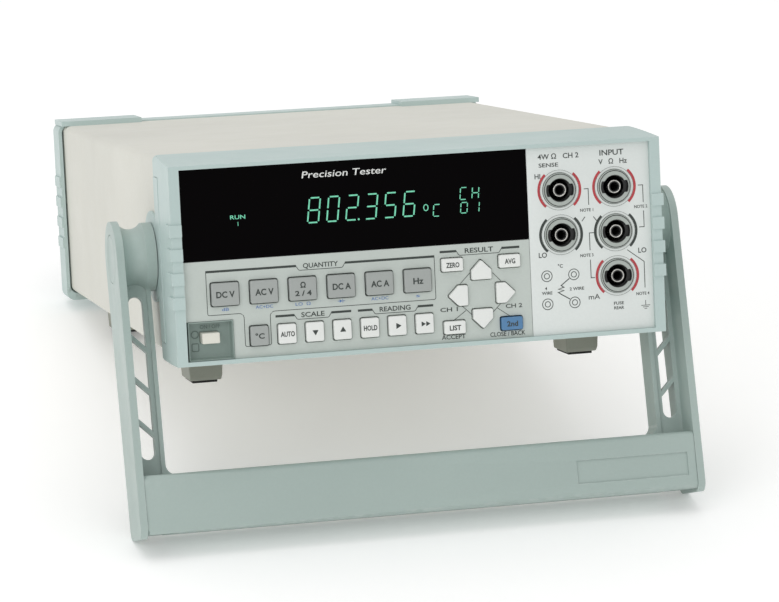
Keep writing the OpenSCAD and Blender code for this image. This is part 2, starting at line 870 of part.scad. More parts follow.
module mains_inlet() {
    color("black") stand() difference() {
        union() {
            box(inlet_x - inlet_w / 2, rear_y - inlet_d, inlet_z - inlet_h / 2, inlet_x + inlet_w / 2, rear_y,
                inlet_z + inlet_h / 2);
            box(inlet_x - inlet_w / 2 - inlet_ear, rear_y, inlet_z - inlet_h / 2 - inlet_rim,
                inlet_x + inlet_w / 2 + inlet_ear, rear_y + inlet_flange_t, inlet_z + inlet_h / 2 + inlet_rim);
        }
        difference() {
            box(inlet_x - inlet_hole_hw, rear_y - inlet_hole_d, inlet_z - inlet_hole_hh,
                inlet_x + inlet_hole_hw, rear_y + inlet_flange_t + 1, inlet_z + inlet_hole_hh);
            for (i = [-1 : 1]) {
                x = inlet_x + i * pin_pitch;
                z = inlet_z + pin_low + (i == 0 ? pin_step : 0);
                box(x - pin_t / 2, rear_y - inlet_hole_d - 1, z, x + pin_t / 2, rear_y - 1, z + pin_h);
            }
        }
    }
}

module fuse_holders() {
    color("black") stand() {
        for (x = fuse_x) {
            peg(x, rear_y - fuse_d, fuse_z, fuse_r, fuse_d);
            peg(x, rear_y, fuse_z, fuse_r + 2, 4);
            peg(x, rear_y + 4, fuse_z, fuse_r + seat_gap, 5);
        }
    }
}

module interface_connector() {
    color("silver") stand() {
        box(bus_x - bus_hw, rear_y - 12, bus_z - bus_hh, bus_x + bus_hw, rear_y, bus_z + bus_hh);
        box(bus_x - bus_hw - 4, rear_y, bus_z - bus_hh - 2, bus_x + bus_hw + 4, rear_y + 1.2,
            bus_z + bus_hh + 2);
        box(bus_x - bus_hw + 3, rear_y + 1.2, bus_z - bus_hh + 0.8, bus_x + bus_hw - 3, rear_y + 6,
            bus_z + bus_hh - 0.8);
    }
}

module trigger_sockets() {
    color("silver") stand() {
        for (x = bnc_x) {
            difference() {
                union() {
                    peg(x, rear_y - 12, bnc_z, bnc_r, 24);
                    peg(x, rear_y, bnc_z, bnc_r + 2.5, 2);
                }
                peg(x, rear_y + 5, bnc_z, bnc_r - 0.9, 8);
            }
            peg(x, rear_y + 5, bnc_z, 2.2, 5);
        }
    }
}

module turned_to_rear() {
    stand() translate([0, rear_y, 0]) rotate([0, 0, 180]) children();
}

module rear_shrouds() {
    color("dimgray") turned_to_rear() {
        for (x = rear_jack_x) {
            for (z = rear_jack_z) {
                shroud(-x, z);
            }
        }
    }
}

module rear_contacts() {
    color("gold") turned_to_rear() {
        for (x = rear_jack_x) {
            for (z = rear_jack_z) {
                contact(-x, z);
            }
        }
    }
}

// Feet

module at_feet() {
    for (x = [-foot_x, foot_x]) {
        for (y = [foot_y, foot_back_y - foot_l]) {
            translate([x, y, 0]) children();
        }
    }
}

module feet() {
    color("darkkhaki") stand() at_feet() difference() {
        along_y(foot_l) polygon([[-foot_w / 2 - 1, sleeve_z0], [foot_w / 2 + 1, sleeve_z0],
            [foot_w / 2, -foot_drop], [-foot_w / 2, -foot_drop]]);
        // front chamfer
        translate([-foot_w, 0, 0]) along_x(foot_w * 2)
            polygon([[-1, -foot_drop - 1], [3, -foot_drop - 1], [-1, -foot_drop + 3]]);
    }
}

module foot_pads() {
    color("black") stand() at_feet()
        box(-foot_w / 2 + 1.5, 4, -foot_drop - pad_t, foot_w / 2 - 1.5, foot_l, -foot_drop);
}

// Handle

// The right-hand bracket; its boss passes through the sleeve to the tray's lug
module side_bracket() {
    difference() {
        union() {
            translate([sleeve_hw, 0, 0]) along_x(bracket_t) {
                translate([bracket_y, bracket_z0]) square([bezel_d - bracket_y, bracket_z1 - bracket_z0]);
                translate([bracket_y, pivot_z - bracket_neck])
                    square([pivot_y - bracket_y, 2 * bracket_neck]);
                translate([pivot_y, pivot_z]) circle(bracket_r);
            }
            translate([lug_x, pivot_y, pivot_z]) rotate([0, 90, 0])
                cylinder(r = boss_r, h = sleeve_hw - lug_x);
            translate([lug_x, pivot_y, pivot_z]) rotate([0, 90, 0])
                cylinder(r = journal_r, h = seat_x - lug_x);
        }
        translate([lug_x - 1, pivot_y, pivot_z]) rotate([0, 90, 0])
            cylinder(r = pivot_screw_r, h = seat_x - lug_x + 2);
    }
}

module side_bracket_right() {
    color("lightblue") stand() side_bracket();
}

module side_bracket_left() {
    color("lightblue") stand() mirror([1, 0, 0]) side_bracket();
}

module pivot_screws() {
    color("silver") stand() on_both_sides() translate([0, pivot_y, pivot_z]) rotate([0, 90, 0]) {
        translate([0, 0, lug_x - lug_t]) cylinder(r = pivot_screw_r, h = seat_x - lug_x + lug_t);
        translate([0, 0, seat_x]) cylinder(r = journal_r - 0.5, h = clear);
        translate([0, 0, seat_x + clear]) cylinder(r = head_r, h = head_t);
    }
}

// Outer tangent band between two circles in the handle's side view
module link(a, ra, b, rb) {
    d = norm(b - a);
    way = atan2(b[1] - a[1], b[0] - a[0]);
    off = acos((ra - rb) / d);
    function edge(c, r, s) = c + r * [cos(way + s * off), sin(way + s * off)];
    translate(a) circle(ra);
    translate(b) circle(rb);
    polygon([edge(a, ra, 1), edge(b, rb, 1), edge(b, rb, -1), edge(a, ra, -1)]);
}

module arm_outline() {
    heel = [heel_y - heel_r, -arm_len + heel_r];
    toe = [-arm_front + heel_r, -arm_len + heel_r];
    link([0, 0], hub_r, heel, heel_r);
    link([0, 0], hub_r, toe, heel_r);
    link(heel, heel_r, toe, heel_r);
    polygon([[0, 0], heel, toe]);
}

// The slots lean with the diagonal struts between them; the first and last have round outer ends
module arm_slots() {
    x0 = (flange_x + flange_t + arm_in_x) / 2 - slot_w / 2;
    x1 = x0 + slot_w;
    for (i = [0 : slot_n - 1]) {
        top = slot_top - i * slot_pitch;
        low = top - slot_len;
        round_top = i == 0;
        round_low = i == slot_n - 1;
        polygon([[x0, top - (round_top ? slot_w / 2 : slot_w)], [x1, top - (round_top ? slot_w / 2 : 0)],
            [x1, low + (round_low ? slot_w / 2 : 0)], [x0, low + (round_low ? slot_w / 2 : -slot_w)]]);
        if (round_top) {
            translate([x0 + slot_w / 2, top - slot_w / 2]) circle(slot_w / 2);
        }
        if (round_low) {
            translate([x0 + slot_w / 2, low + slot_w / 2]) circle(slot_w / 2);
        }
    }
}

// The right-hand arm about its pivot: outer wall, spool-shaped hub, slotted web and inner flange
module handle_arm() {
    neck_x = (hub_in_x + disc_t + arm_in_x) / 2;
    half_chord = (arm_in_x - hub_in_x - disc_t) / 2 - groove_land;
    sag = disc_r - neck_r;
    groove_r = (half_chord * half_chord + sag * sag) / (2 * sag);
    difference() {
        union() {
            translate([arm_in_x, 0, 0]) along_x(arm_t) arm_outline();
            rotate([0, 90, 0]) rotate_extrude() difference() {
                translate([0, hub_in_x]) square([disc_r, arm_in_x - hub_in_x]);
                translate([neck_r + groove_r, neck_x]) circle(groove_r);
            }
            // web, with its slots
            difference() {
                box(flange_x, web_y, bar_z0, arm_in_x, web_y + web_t, -neck_r + 2);
                translate([0, web_y - 1, 0]) along_y(web_t + 2) arm_slots();
            }
            // inner flange
            box(flange_x, web_y - 1, bar_z0, flange_x + flange_t, bar_back, -neck_r + 1);
        }
        // journal bore and the pocket for the screw's head
        translate([hub_in_x - 1, 0, 0]) rotate([0, 90, 0])
            cylinder(r = journal_r + journal_gap, h = seat_x - hub_in_x + 2);
        translate([seat_x, 0, 0]) rotate([0, 90, 0]) cylinder(r = head_r + 1, h = 10);
        translate([arm_hw - cap_t, 0, 0]) rotate([0, 90, 0]) cylinder(r = cap_r, h = cap_t + 1);
        for (z = bar_screw_z) {
            peg(bar_screw_x, web_y - 1, z, bar_screw_r + seat_gap, web_t + 2);
        }
    }
}

module handle_arm_right() {
    color("lightslategray") on_handle() handle_arm();
}

module handle_arm_left() {
    color("lightslategray") on_handle() mirror([1, 0, 0]) handle_arm();
}

// The crossbar: a channel that is open at the back, stiffened by ribs
module handle_crossbar() {
    color("lightslategray") on_handle() difference() {
        union() {
            box(-bar_hw, bar_y, bar_z0, bar_hw, bar_y + bar_t, bar_z1);
            box(-flange_x, bar_y, bar_z1 - bar_t, flange_x, bar_back, bar_z1);
            box(-flange_x, bar_y, bar_z0, flange_x, bar_back, bar_z0 + bar_t);
            for (i = [-(bar_rib_n - 1) / 2 : (bar_rib_n - 1) / 2]) {
                x = i * 2 * flange_x / (bar_rib_n + 1);
                box(x - bar_rib_t / 2, bar_y + bar_t, bar_z0 + bar_t, x + bar_rib_t / 2,
                    bar_back - bar_rib_in, bar_z1 - bar_t);
            }
            // screw bosses
            for (x = [-bar_screw_x, bar_screw_x]) {
                for (z = bar_screw_z) {
                    peg(x, bar_y + bar_t, z, bar_boss_r, web_y - bar_y - bar_t);
                }
            }
            // rounded roots against the arms
            on_both_sides() translate([0, web_y - 1, 0]) along_y(bar_back - web_y + 1) difference() {
                translate([flange_x - fillet, bar_z1]) square(fillet);
                translate([flange_x - fillet, bar_z1 + fillet]) circle(fillet);
            }
        }
        translate([bar_hw - recess_side - recess_l, bar_y - 1, bar_z0 + recess_rise])
            cube([recess_l, recess_t + 1, recess_h]);
        for (x = [-bar_screw_x, bar_screw_x]) {
            for (z = bar_screw_z) {
                peg(x, bar_y + bar_t, z, bar_screw_r, web_y - bar_y);
            }
        }
    }
}

module handle_screws() {
    color("silver") on_handle() {
        for (x = [-bar_screw_x, bar_screw_x]) {
            for (z = bar_screw_z) {
                peg(x, web_y - 9, z, bar_screw_r, web_t + 9);
                peg(x, web_y + web_t, z, 2 * bar_screw_r, 1.8);
            }
        }
    }
}

module hub_caps() {
    color("lightslategray") on_handle() on_both_sides()
        translate([arm_hw - cap_t, 0, 0]) rotate([0, 90, 0]) cylinder(r = cap_r, h = cap_t);
}

front_bezel();
key_panel();
display_window();
jack_panel();
power_surround();
case_sleeve();
chassis_tray();
rear_panel();
rear_frame();
rear_frame_screws();
side_bracket_left();
side_bracket_right();
pivot_screws();
feet();
foot_pads();
jack_shrouds();
jack_contacts();
display_tube();
front_board();
key_mat();
main_board();
transformer();
shield_can();
capacitors();
relays();
power_switch();
ribbon_cable();
mains_inlet();
fuse_holders();
interface_connector();
trigger_sockets();
rear_shrouds();
rear_contacts();
handle_arm_left();
handle_arm_right();
handle_crossbar();
handle_screws();
hub_caps();
key_power();
function_key(0);  // key_dc_volts
function_key(1);  // key_ac_volts
function_key(2);  // key_ohms
function_key(3);  // key_dc_amps
function_key(4);  // key_ac_amps
function_key(5);  // key_frequency
range_key(0, "darkgray");  // key_temperature
range_key(1);  // key_auto
range_key(2);  // key_down
range_key(3);  // key_up
range_key(4);  // key_hold
range_key(5);  // key_trigger
range_key(6);  // key_rate
menu_key(-1, 1);  // key_null
menu_key(1, 1);  // key_smoothing
menu_key(-1, -1);  // key_menu
menu_key(1, -1, "royalblue");  // key_shift
pad_key(0);  // arrow_up
pad_key(-90);  // arrow_left
pad_key(90);  // arrow_right
pad_key(180);  // arrow_down
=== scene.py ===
import json
import math

import bmesh
import bpy
import numpy as np
from mathutils import Matrix, Vector
from mathutils.geometry import tessellate_polygon


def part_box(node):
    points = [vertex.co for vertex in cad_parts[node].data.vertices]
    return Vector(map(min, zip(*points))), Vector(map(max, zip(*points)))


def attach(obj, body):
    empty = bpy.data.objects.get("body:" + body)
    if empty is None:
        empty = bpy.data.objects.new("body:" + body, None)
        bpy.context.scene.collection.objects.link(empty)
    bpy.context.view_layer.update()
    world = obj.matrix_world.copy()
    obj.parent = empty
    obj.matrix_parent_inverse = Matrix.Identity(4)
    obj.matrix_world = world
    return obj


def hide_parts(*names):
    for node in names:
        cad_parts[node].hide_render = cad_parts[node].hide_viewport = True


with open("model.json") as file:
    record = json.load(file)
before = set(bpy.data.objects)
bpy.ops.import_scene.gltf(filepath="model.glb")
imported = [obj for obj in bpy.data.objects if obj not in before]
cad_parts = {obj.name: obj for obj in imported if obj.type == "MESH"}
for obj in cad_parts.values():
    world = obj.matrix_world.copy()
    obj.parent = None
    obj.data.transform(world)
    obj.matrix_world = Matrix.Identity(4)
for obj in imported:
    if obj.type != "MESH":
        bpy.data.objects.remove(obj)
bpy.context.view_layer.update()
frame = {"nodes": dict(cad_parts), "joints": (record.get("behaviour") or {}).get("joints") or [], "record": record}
record = frame["record"]
print("frame loaded")

# The instrument's own axes: x across, y back from the bezel's face, z up from its underside.
# Shapes are worked out along them in millimetres and turned into the row frame at the end.
mm = 0.001
panelDepth = 1.8
jointNamed = {j["name"]: j for j in frame["joints"]}
mountNamed = {m["name"]: m for m in record["mounts"]}
slotOfNode = {s["node"]: s["material_slot"] for s in record["subparts"]}
pushAxis = jointNamed["press_auto"]["axis"]
tilt = math.atan2(-pushAxis[2], pushAxis[1])


def tiltedAxes(angle):
    c, s = math.cos(angle), math.sin(angle)
    return np.array([[1, 0, 0], [0, c, -s], [0, s, c]])


def nodePoints(node):
    mesh = frame["nodes"][node].data
    flat = np.empty(len(mesh.vertices) * 3)
    mesh.vertices.foreach_get("co", flat)
    return flat.reshape(-1, 3)


unitAxes = tiltedAxes(tilt)
faceY = (nodePoints("jack_panel") @ unitAxes.T)[:, 1].min() - panelDepth * mm
soleZ = (nodePoints("front_bezel") @ unitAxes.T)[:, 2].min()
unitOrigin = np.array([0, faceY, soleZ]) @ unitAxes


def toRow(points):
    return np.asarray(points, float) * mm @ unitAxes + unitOrigin


def toUnit(points):
    return (np.asarray(points, float) - unitOrigin) @ unitAxes.T / mm


def unitBox(node):
    points = toUnit(nodePoints(node))
    return points.min(0), points.max(0)


# Camera: place, heading to the right of +y, dip below the level, roll, and lens on a 36 mm sensor
camera = dict(place=(-0.3517, -1.5162, 0.6147), heading=13.93, dip=20.08, roll=0.73, lens=164.1)


def addCamera(c):
    heading, dip, roll = (math.radians(c[k]) for k in ("heading", "dip", "roll"))
    turn = (Matrix.Rotation(-heading, 4, "Z") @ Matrix.Rotation(math.pi / 2 - dip, 4, "X")
            @ Matrix.Rotation(roll, 4, "Z"))
    data = bpy.data.cameras.new("camera")
    data.lens = c["lens"]
    data.sensor_width = 36
    data.clip_end = 20
    obj = bpy.data.objects.new("camera", data)
    obj.matrix_world = Matrix.Translation(c["place"]) @ turn
    bpy.context.scene.collection.objects.link(obj)
    bpy.context.scene.camera = obj


addCamera(camera)
print("camera set")

# Node groups: each puts out masks and values that change over the surface


def newGroup(name, inputs, outputs):
    group = bpy.data.node_groups.new(name, "ShaderNodeTree")
    for label, value in inputs:
        socket = group.interface.new_socket(name=label, in_out="INPUT", socket_type="NodeSocketFloat")
        socket.default_value = value
    for label in outputs:
        group.interface.new_socket(name=label, in_out="OUTPUT", socket_type="NodeSocketFloat")
    return group, group.nodes.new("NodeGroupInput"), group.nodes.new("NodeGroupOutput")


def noise(nodes, links, place, scale, detail=2.0, rough=0.5):
    n = nodes.new("ShaderNodeTexNoise")
    n.inputs["Detail"].default_value = detail
    n.inputs["Roughness"].default_value = rough
    links.new(place, n.inputs["Vector"])
    if isinstance(scale, (int, float)):
        n.inputs["Scale"].default_value = scale
    else:
        links.new(scale, n.inputs["Scale"])
    return n.outputs["Fac"]


def sums(nodes, links, kind, a, b=None, clamp=False):
    n = nodes.new("ShaderNodeMath")
    n.operation = kind
    n.use_clamp = clamp
    for k, value in enumerate((a, b)):
        if value is None:
            continue
        if isinstance(value, (int, float)):
            n.inputs[k].default_value = value
        else:
            links.new(value, n.inputs[k])
    return n.outputs[0]


def spread(nodes, links, value, low, high):
    n = nodes.new("ShaderNodeMapRange")
    n.clamp = True
    links.new(value, n.inputs["Value"])
    n.inputs["From Min"].default_value = low
    n.inputs["From Max"].default_value = high
    return n.outputs["Result"]


def makeGrain():
    # Height is fine noise plus a share of coarser pebbles; Speckle is a sparse light and dark dust
    group, gin, gout = newGroup("mouldedGrain", [("Scale", 1800.0), ("Pebble", 0.4)], ["Height", "Speckle"])
    nodes, links = group.nodes, group.links
    place = nodes.new("ShaderNodeTexCoord").outputs["Object"]
    fine = noise(nodes, links, place, gin.outputs["Scale"], 3.0, 0.6)
    pebbles = nodes.new("ShaderNodeTexVoronoi")
    pebbles.feature = "SMOOTH_F1"
    links.new(place, pebbles.inputs["Vector"])
    links.new(sums(nodes, links, "MULTIPLY", gin.outputs["Scale"], 0.7), pebbles.inputs["Scale"])
    share = sums(nodes, links, "MULTIPLY", pebbles.outputs["Distance"], gin.outputs["Pebble"])
    links.new(sums(nodes, links, "ADD", fine, share), gout.inputs["Height"])
    links.new(spread(nodes, links, noise(nodes, links, place, 900.0, 1.0), 0.35, 0.65),
              gout.inputs["Speckle"])
    return group


def makeDrift():
    # Slow drift of tone over the whole piece, and a patchy smudge for the gloss
    group, gin, gout = newGroup("toneDrift", [("Scale", 9.0)], ["Drift", "Smudge"])
    nodes, links = group.nodes, group.links
    place = nodes.new("ShaderNodeTexCoord").outputs["Object"]
    slow = noise(nodes, links, place, gin.outputs["Scale"], 3.0, 0.55)
    links.new(spread(nodes, links, slow, 0.3, 0.7), gout.inputs["Drift"])
    patch = noise(nodes, links, place, 45.0, 5.0, 0.65)
    links.new(spread(nodes, links, patch, 0.35, 0.75), gout.inputs["Smudge"])
    return group


def makeWear():
    # Edges are where the rounded normal leaves the true one; noise breaks the line up
    group, gin, gout = newGroup("edgeWear", [("Radius", 0.0006), ("Breaks", 260.0)], ["Wear"])
    nodes, links = group.nodes, group.links
    rounded = nodes.new("ShaderNodeBevel")
    rounded.samples = 4
    links.new(gin.outputs["Radius"], rounded.inputs["Radius"])
    true = nodes.new("ShaderNodeNewGeometry").outputs["True Normal"]
    dot = nodes.new("ShaderNodeVectorMath")
    dot.operation = "DOT_PRODUCT"
    links.new(rounded.outputs["Normal"], dot.inputs[0])
    links.new(true, dot.inputs[1])
    edge = spread(nodes, links, dot.outputs["Value"], 0.995, 0.8)
    place = nodes.new("ShaderNodeTexCoord").outputs["Object"]
    breaks = spread(nodes, links, noise(nodes, links, place, gin.outputs["Breaks"], 4.0), 0.42, 0.62)
    links.new(sums(nodes, links, "MULTIPLY", edge, breaks), gout.inputs["Wear"])
    return group


def makeDust():
    # Dust settles on what faces up
    group, gin, gout = newGroup("settledDust", [("Amount", 1.0)], ["Dust"])
    nodes, links = group.nodes, group.links
    normal = nodes.new("ShaderNodeSeparateXYZ")
    links.new(nodes.new("ShaderNodeNewGeometry").outputs["Normal"], normal.inputs[0])
    up = spread(nodes, links, normal.outputs["Z"], 0.3, 1.0)
    place = nodes.new("ShaderNodeTexCoord").outputs["Object"]
    grit = spread(nodes, links, noise(nodes, links, place, 160.0, 6.0, 0.7), 0.48, 0.72)
    share = sums(nodes, links, "MULTIPLY", up, grit)
    links.new(sums(nodes, links, "MULTIPLY", share, gin.outputs["Amount"]), gout.inputs["Dust"])
    return group


grainGroup, driftGroup, wearGroup, dustGroup = makeGrain(), makeDrift(), makeWear(), makeDust()


class Finish:
    # A material under construction: the Principled shader and short ways to reach groups and mixes
    def __init__(self, name, rough, metal=0.0, coat=0.0, specular=0.5):
        self.material = bpy.data.materials.new(name)
        self.material.use_nodes = True
        self.nodes = self.material.node_tree.nodes
        self.links = self.material.node_tree.links
        self.shader = self.nodes["Principled BSDF"]
        self.shader.inputs["Metallic"].default_value = metal
        self.shader.inputs["Coat Weight"].default_value = coat
        self.shader.inputs["Coat Roughness"].default_value = 0.08
        self.shader.inputs["Specular IOR Level"].default_value = specular
        self.shader.inputs["Roughness"].default_value = rough
        self.colour = None

    def group(self, tree, **values):
        n = self.nodes.new("ShaderNodeGroup")
        n.node_tree = tree
        for label, value in values.items():
            n.inputs[label].default_value = value
        return n.outputs

    def mix(self, share, a, b):
        n = self.nodes.new("ShaderNodeMix")
        n.data_type = "RGBA"
        self.links.new(share, n.inputs[0])
        for socket, value in ((n.inputs[6], a), (n.inputs[7], b)):
            if isinstance(value, (tuple, list)):
                socket.default_value = (*value[:3], 1)
            else:
                self.links.new(value, socket)
        return n.outputs[2]

    def scaled(self, value, low, high):
        n = self.nodes.new("ShaderNodeMapRange")
        self.links.new(value, n.inputs["Value"])
        n.inputs["To Min"].default_value = low
        n.inputs["To Max"].default_value = high
        return n.outputs["Result"]

    def bump(self, height, depth, strength=1.0):
        n = self.nodes.new("ShaderNodeBump")
        n.inputs["Strength"].default_value = strength
        n.inputs["Distance"].default_value = depth
        self.links.new(height, n.inputs["Height"])
        self.links.new(n.outputs["Normal"], self.shader.inputs["Normal"])

    def paint(self, colour):
        self.links.new(colour, self.shader.inputs["Base Color"])

    def gloss(self, value):
        self.links.new(value, self.shader.inputs["Roughness"])


def shade(colour, factor):
    return tuple(min(1.0, c * factor) for c in colour)


def moulded(name, colour, rough=0.45, grain=1800.0, depth=0.00003, drift=0.035, wear=0.5, dust=0.05,
            coat=0.0, pebble=0.4):
    # Moulded or painted skin: drifting tone, speckle, lighter worn edges, settled dust, fine grain
    f = Finish(name, rough, coat=coat)
    tone = f.group(driftGroup, Scale=9.0)
    skin = f.group(grainGroup, Scale=grain, Pebble=pebble)
    colourNow = f.mix(tone["Drift"], shade(colour, 1 - drift), shade(colour, 1 + drift))
    speckled = f.mix(f.scaled(skin["Speckle"], 0, 0.12), colourNow, shade(colour, 0.86))
    worn = f.group(wearGroup)["Wear"]
    edged = f.mix(f.scaled(worn, 0, wear), speckled, tuple(0.55 * c + 0.42 for c in colour))
    dusty = f.mix(f.scaled(f.group(dustGroup)["Dust"], 0, dust), edged, (0.75, 0.74, 0.7))
    f.paint(dusty)
    f.gloss(f.scaled(tone["Smudge"], rough - 0.06, rough + 0.09))
    f.bump(skin["Height"], depth)
    return f.material


def metalFinish(name, colour, rough=0.3, streak=60.0, depth=0.00001):
    # Plated or rolled metal: fine streaks along x, blotchy gloss and blotchy tarnish
    f = Finish(name, rough, metal=1.0)
    place = f.nodes.new("ShaderNodeTexCoord").outputs["Object"]
    stretch = f.nodes.new("ShaderNodeMapping")
    stretch.inputs["Scale"].default_value = (1, 14, 14)
    f.links.new(place, stretch.inputs["Vector"])
    lines = noise(f.nodes, f.links, stretch.outputs["Vector"], streak, 5.0, 0.7)
    tone = f.group(driftGroup, Scale=30.0)
    f.paint(f.mix(tone["Smudge"], shade(colour, 0.82), colour))
    f.gloss(f.scaled(lines, rough - 0.08, rough + 0.14))
    f.bump(lines, depth)
    return f.material


def inkFinish(name, colour, rough=0.55):
    # Screen-printed ink: slightly uneven cover
    f = Finish(name, rough)
    cover = f.group(grainGroup, Scale=2600.0, Pebble=0.2)
    f.paint(f.mix(cover["Speckle"], shade(colour, 0.9), shade(colour, 1.12)))
    f.gloss(f.scaled(cover["Speckle"], rough - 0.05, rough + 0.08))
    f.bump(cover["Height"], 0.000008)
    return f.material


def glowFinish(name, colour, strength):
    # Lit phosphor: brighter and dimmer by the grain of its coating
    f = Finish(name, 0.4)
    cover = f.group(grainGroup, Scale=3000.0, Pebble=0.3)
    lit = f.mix(cover["Speckle"], shade(colour, 0.8), colour)
    f.paint(f.mix(cover["Speckle"], (0.02, 0.05, 0.04), (0.03, 0.07, 0.055)))
    f.links.new(lit, f.shader.inputs["Emission Color"])
    f.shader.inputs["Emission Strength"].default_value = strength
    return f.material


def windowFinish():
    # Tinted acrylic with hard gloss and the faintest dust and wipe marks
    f = Finish("windowAcrylic", 0.1)
    f.shader.inputs["IOR"].default_value = 1.12
    tone = f.group(driftGroup, Scale=20.0)
    dust = f.group(dustGroup, Amount=0.6)["Dust"]
    f.paint(f.mix(dust, (0.0009, 0.0005, 0.0007), (0.012, 0.012, 0.012)))
    f.gloss(f.scaled(tone["Smudge"], 0.07, 0.16))
    f.bump(f.group(grainGroup, Scale=60.0, Pebble=0.1)["Height"], 0.00001, 0.2)
    return f.material


colours = dict(
    bezel=(0.475, 0.585, 0.565), handle=(0.39, 0.475, 0.445), panel=(0.52, 0.57, 0.535),
    jackPanel=(0.72, 0.76, 0.74), sleeve=(0.675, 0.67, 0.605), foot=(0.29, 0.3, 0.25),
    keyGrey=(0.36, 0.385, 0.37), keyWhite=(0.78, 0.8, 0.775), keyBlue=(0.085, 0.215, 0.4),
    keyCream=(0.74, 0.73, 0.65), ring=(0.4, 0.44, 0.41), inkDarkAndPaintedShadow=(0.035, 0.045, 0.04),
    inkBlue=(0.1, 0.2, 0.45), inkDish=(0.15, 0.2, 0.18),
    inkRed=(0.45, 0.045, 0.055), phosphor=(0.2, 0.78, 0.5))

look = {
    "bezel_plastic": moulded("bezelPlastic", colours["bezel"], rough=0.42, wear=0.35),
    "handle_plastic": moulded("handlePlastic", colours["handle"], rough=0.42, wear=0.45, grain=1500.0),
    "panel_plastic": moulded("keyPanelPlastic", colours["panel"], rough=0.5, wear=0.2),
    "jack_panel_plastic": moulded("jackPanelPlastic", colours["jackPanel"], rough=0.5, wear=0.15),
    "sleeve_paint": moulded("sleevePaint", colours["sleeve"], rough=0.5, grain=1100.0, depth=0.00004,
                            wear=0.3, dust=0.1, pebble=0.9),
    "foot_plastic": moulded("footPlastic", colours["foot"], rough=0.5, wear=0.3),
    "pad_rubber": moulded("padRubber", (0.018, 0.018, 0.018), rough=0.8, depth=0.00008, wear=0.08),
    "shroud_plastic": moulded("ringPlastic", colours["ring"], rough=0.38, wear=0.25),
    "key_grey_plastic": moulded("keyGreyPlastic", colours["keyGrey"], rough=0.46, wear=0.3),
    "key_white_plastic": moulded("keyWhitePlastic", colours["keyWhite"], rough=0.44, wear=0.1),
    "key_blue_plastic": moulded("keyBluePlastic", colours["keyBlue"], rough=0.42, wear=0.2),
    "key_cream_plastic": moulded("keyCreamPlastic", colours["keyCream"], rough=0.42, wear=0.1),
    # Black plastic, also used for the rings of painted shade in the jack rings' grooves
    "black_plastic": moulded("blackPlasticAndGrooveShade", (0.016, 0.017, 0.017), rough=0.4, wear=0.06, dust=0.08),
    # The dish is the bezel's plastic made darker: painted shade of its recess
    "dish_plastic": moulded("dishPlasticPaintedShade", (0.275, 0.35, 0.32), rough=0.42, wear=0.2),
    "relay_plastic": moulded("relayPlastic", (0.7, 0.67, 0.56), rough=0.4, wear=0.1),
    "mat_silicone": moulded("matSilicone", (0.3, 0.3, 0.3), rough=0.75, wear=0.1),
    "board_laminate": moulded("boardLaminate", (0.03, 0.16, 0.07), rough=0.35, wear=0.1, coat=0.3),
    "core_iron": metalFinish("coreIron", (0.3, 0.29, 0.27), rough=0.5),
    "zinc_steel": metalFinish("zincSteel", (0.66, 0.67, 0.68), rough=0.34),
    "contact_nickel": metalFinish("contactNickel", (0.74, 0.73, 0.69), rough=0.24, streak=300.0),
    "tube_glass": moulded("tubeGlass", (0.02, 0.03, 0.03), rough=0.1, wear=0.0, coat=0.6),
    "window_acrylic": windowFinish(),
}
# Dark ink for the print; the rings round the front jacks use it as painted shadow
inkDarkAndPaintedShadow = inkFinish("inkDarkAndPaintedShadow", colours["inkDarkAndPaintedShadow"])
inkBlue = inkFinish("inkBlue", colours["inkBlue"])
inkDish = inkFinish("inkDish", colours["inkDish"])
inkRed = inkFinish("inkRed", colours["inkRed"])
inkWhite = inkFinish("inkWhite", (0.75, 0.76, 0.74))
phosphor = glowFinish("litPhosphor", colours["phosphor"], 0.85)

for node, obj in frame["nodes"].items():
    obj.data.materials.clear()
    obj.data.materials.append(look[slotOfNode[node]])
print("materials made")

# Shapes: each gives its points, in the instrument's millimetres, and its faces


def ringShape(rings, loop=False):
    # Neighbouring rings of equal count are joined by quads; open ends get one flat face each
    rings = np.asarray(rings, float)
    count, around = rings.shape[:2]
    row = np.arange(count if loop else count - 1)[:, None]
    step = np.arange(around)[None, :]
    ahead = (step + 1) % around
    nextRow = (row + 1) % count
    quads = np.stack([row * around + step, row * around + ahead,
                      nextRow * around + ahead, nextRow * around + step], -1).reshape(-1, 4)
    faces = quads.tolist()
    if not loop:
        faces.append(list(range(around)))
        faces.append(list(range((count - 1) * around, count * around)))
    return rings.reshape(-1, 3), faces


def convexOutline(corners, radius, inset=0.0, perCorner=5):
    # Sides of a convex outline move in by inset; each corner is an arc about the point that lies
    # inset plus arc radius inside both of its sides
    p = np.asarray(corners, float)
    along = np.roll(p, -1, 0) - p
    along /= np.linalg.norm(along, axis=1, keepdims=True)
    after = np.stack([along[:, 1], -along[:, 0]], 1)
    before = np.roll(after, 1, 0)
    r = max(radius - inset, 0.02)
    meet = (before + after) / (1 + (before * after).sum(1, keepdims=True))
    centre = p - (inset + r) * meet
    start = np.arctan2(before[:, 1], before[:, 0])
    turn = (np.arctan2(after[:, 1], after[:, 0]) - start) % (2 * math.pi)
    angle = start[:, None] + turn[:, None] * np.linspace(0, 1, perCorner)[None, :]
    arcs = centre[:, None, :] + r * np.stack([np.cos(angle), np.sin(angle)], -1)
    return arcs.reshape(-1, 2)


def boxCorners(x0, z0, x1, z1):
    return [(x0, z0), (x1, z0), (x1, z1), (x0, z1)]


def ringAt(outline, y):
    return np.stack([outline[:, 0], np.full(len(outline), y), outline[:, 1]], 1)


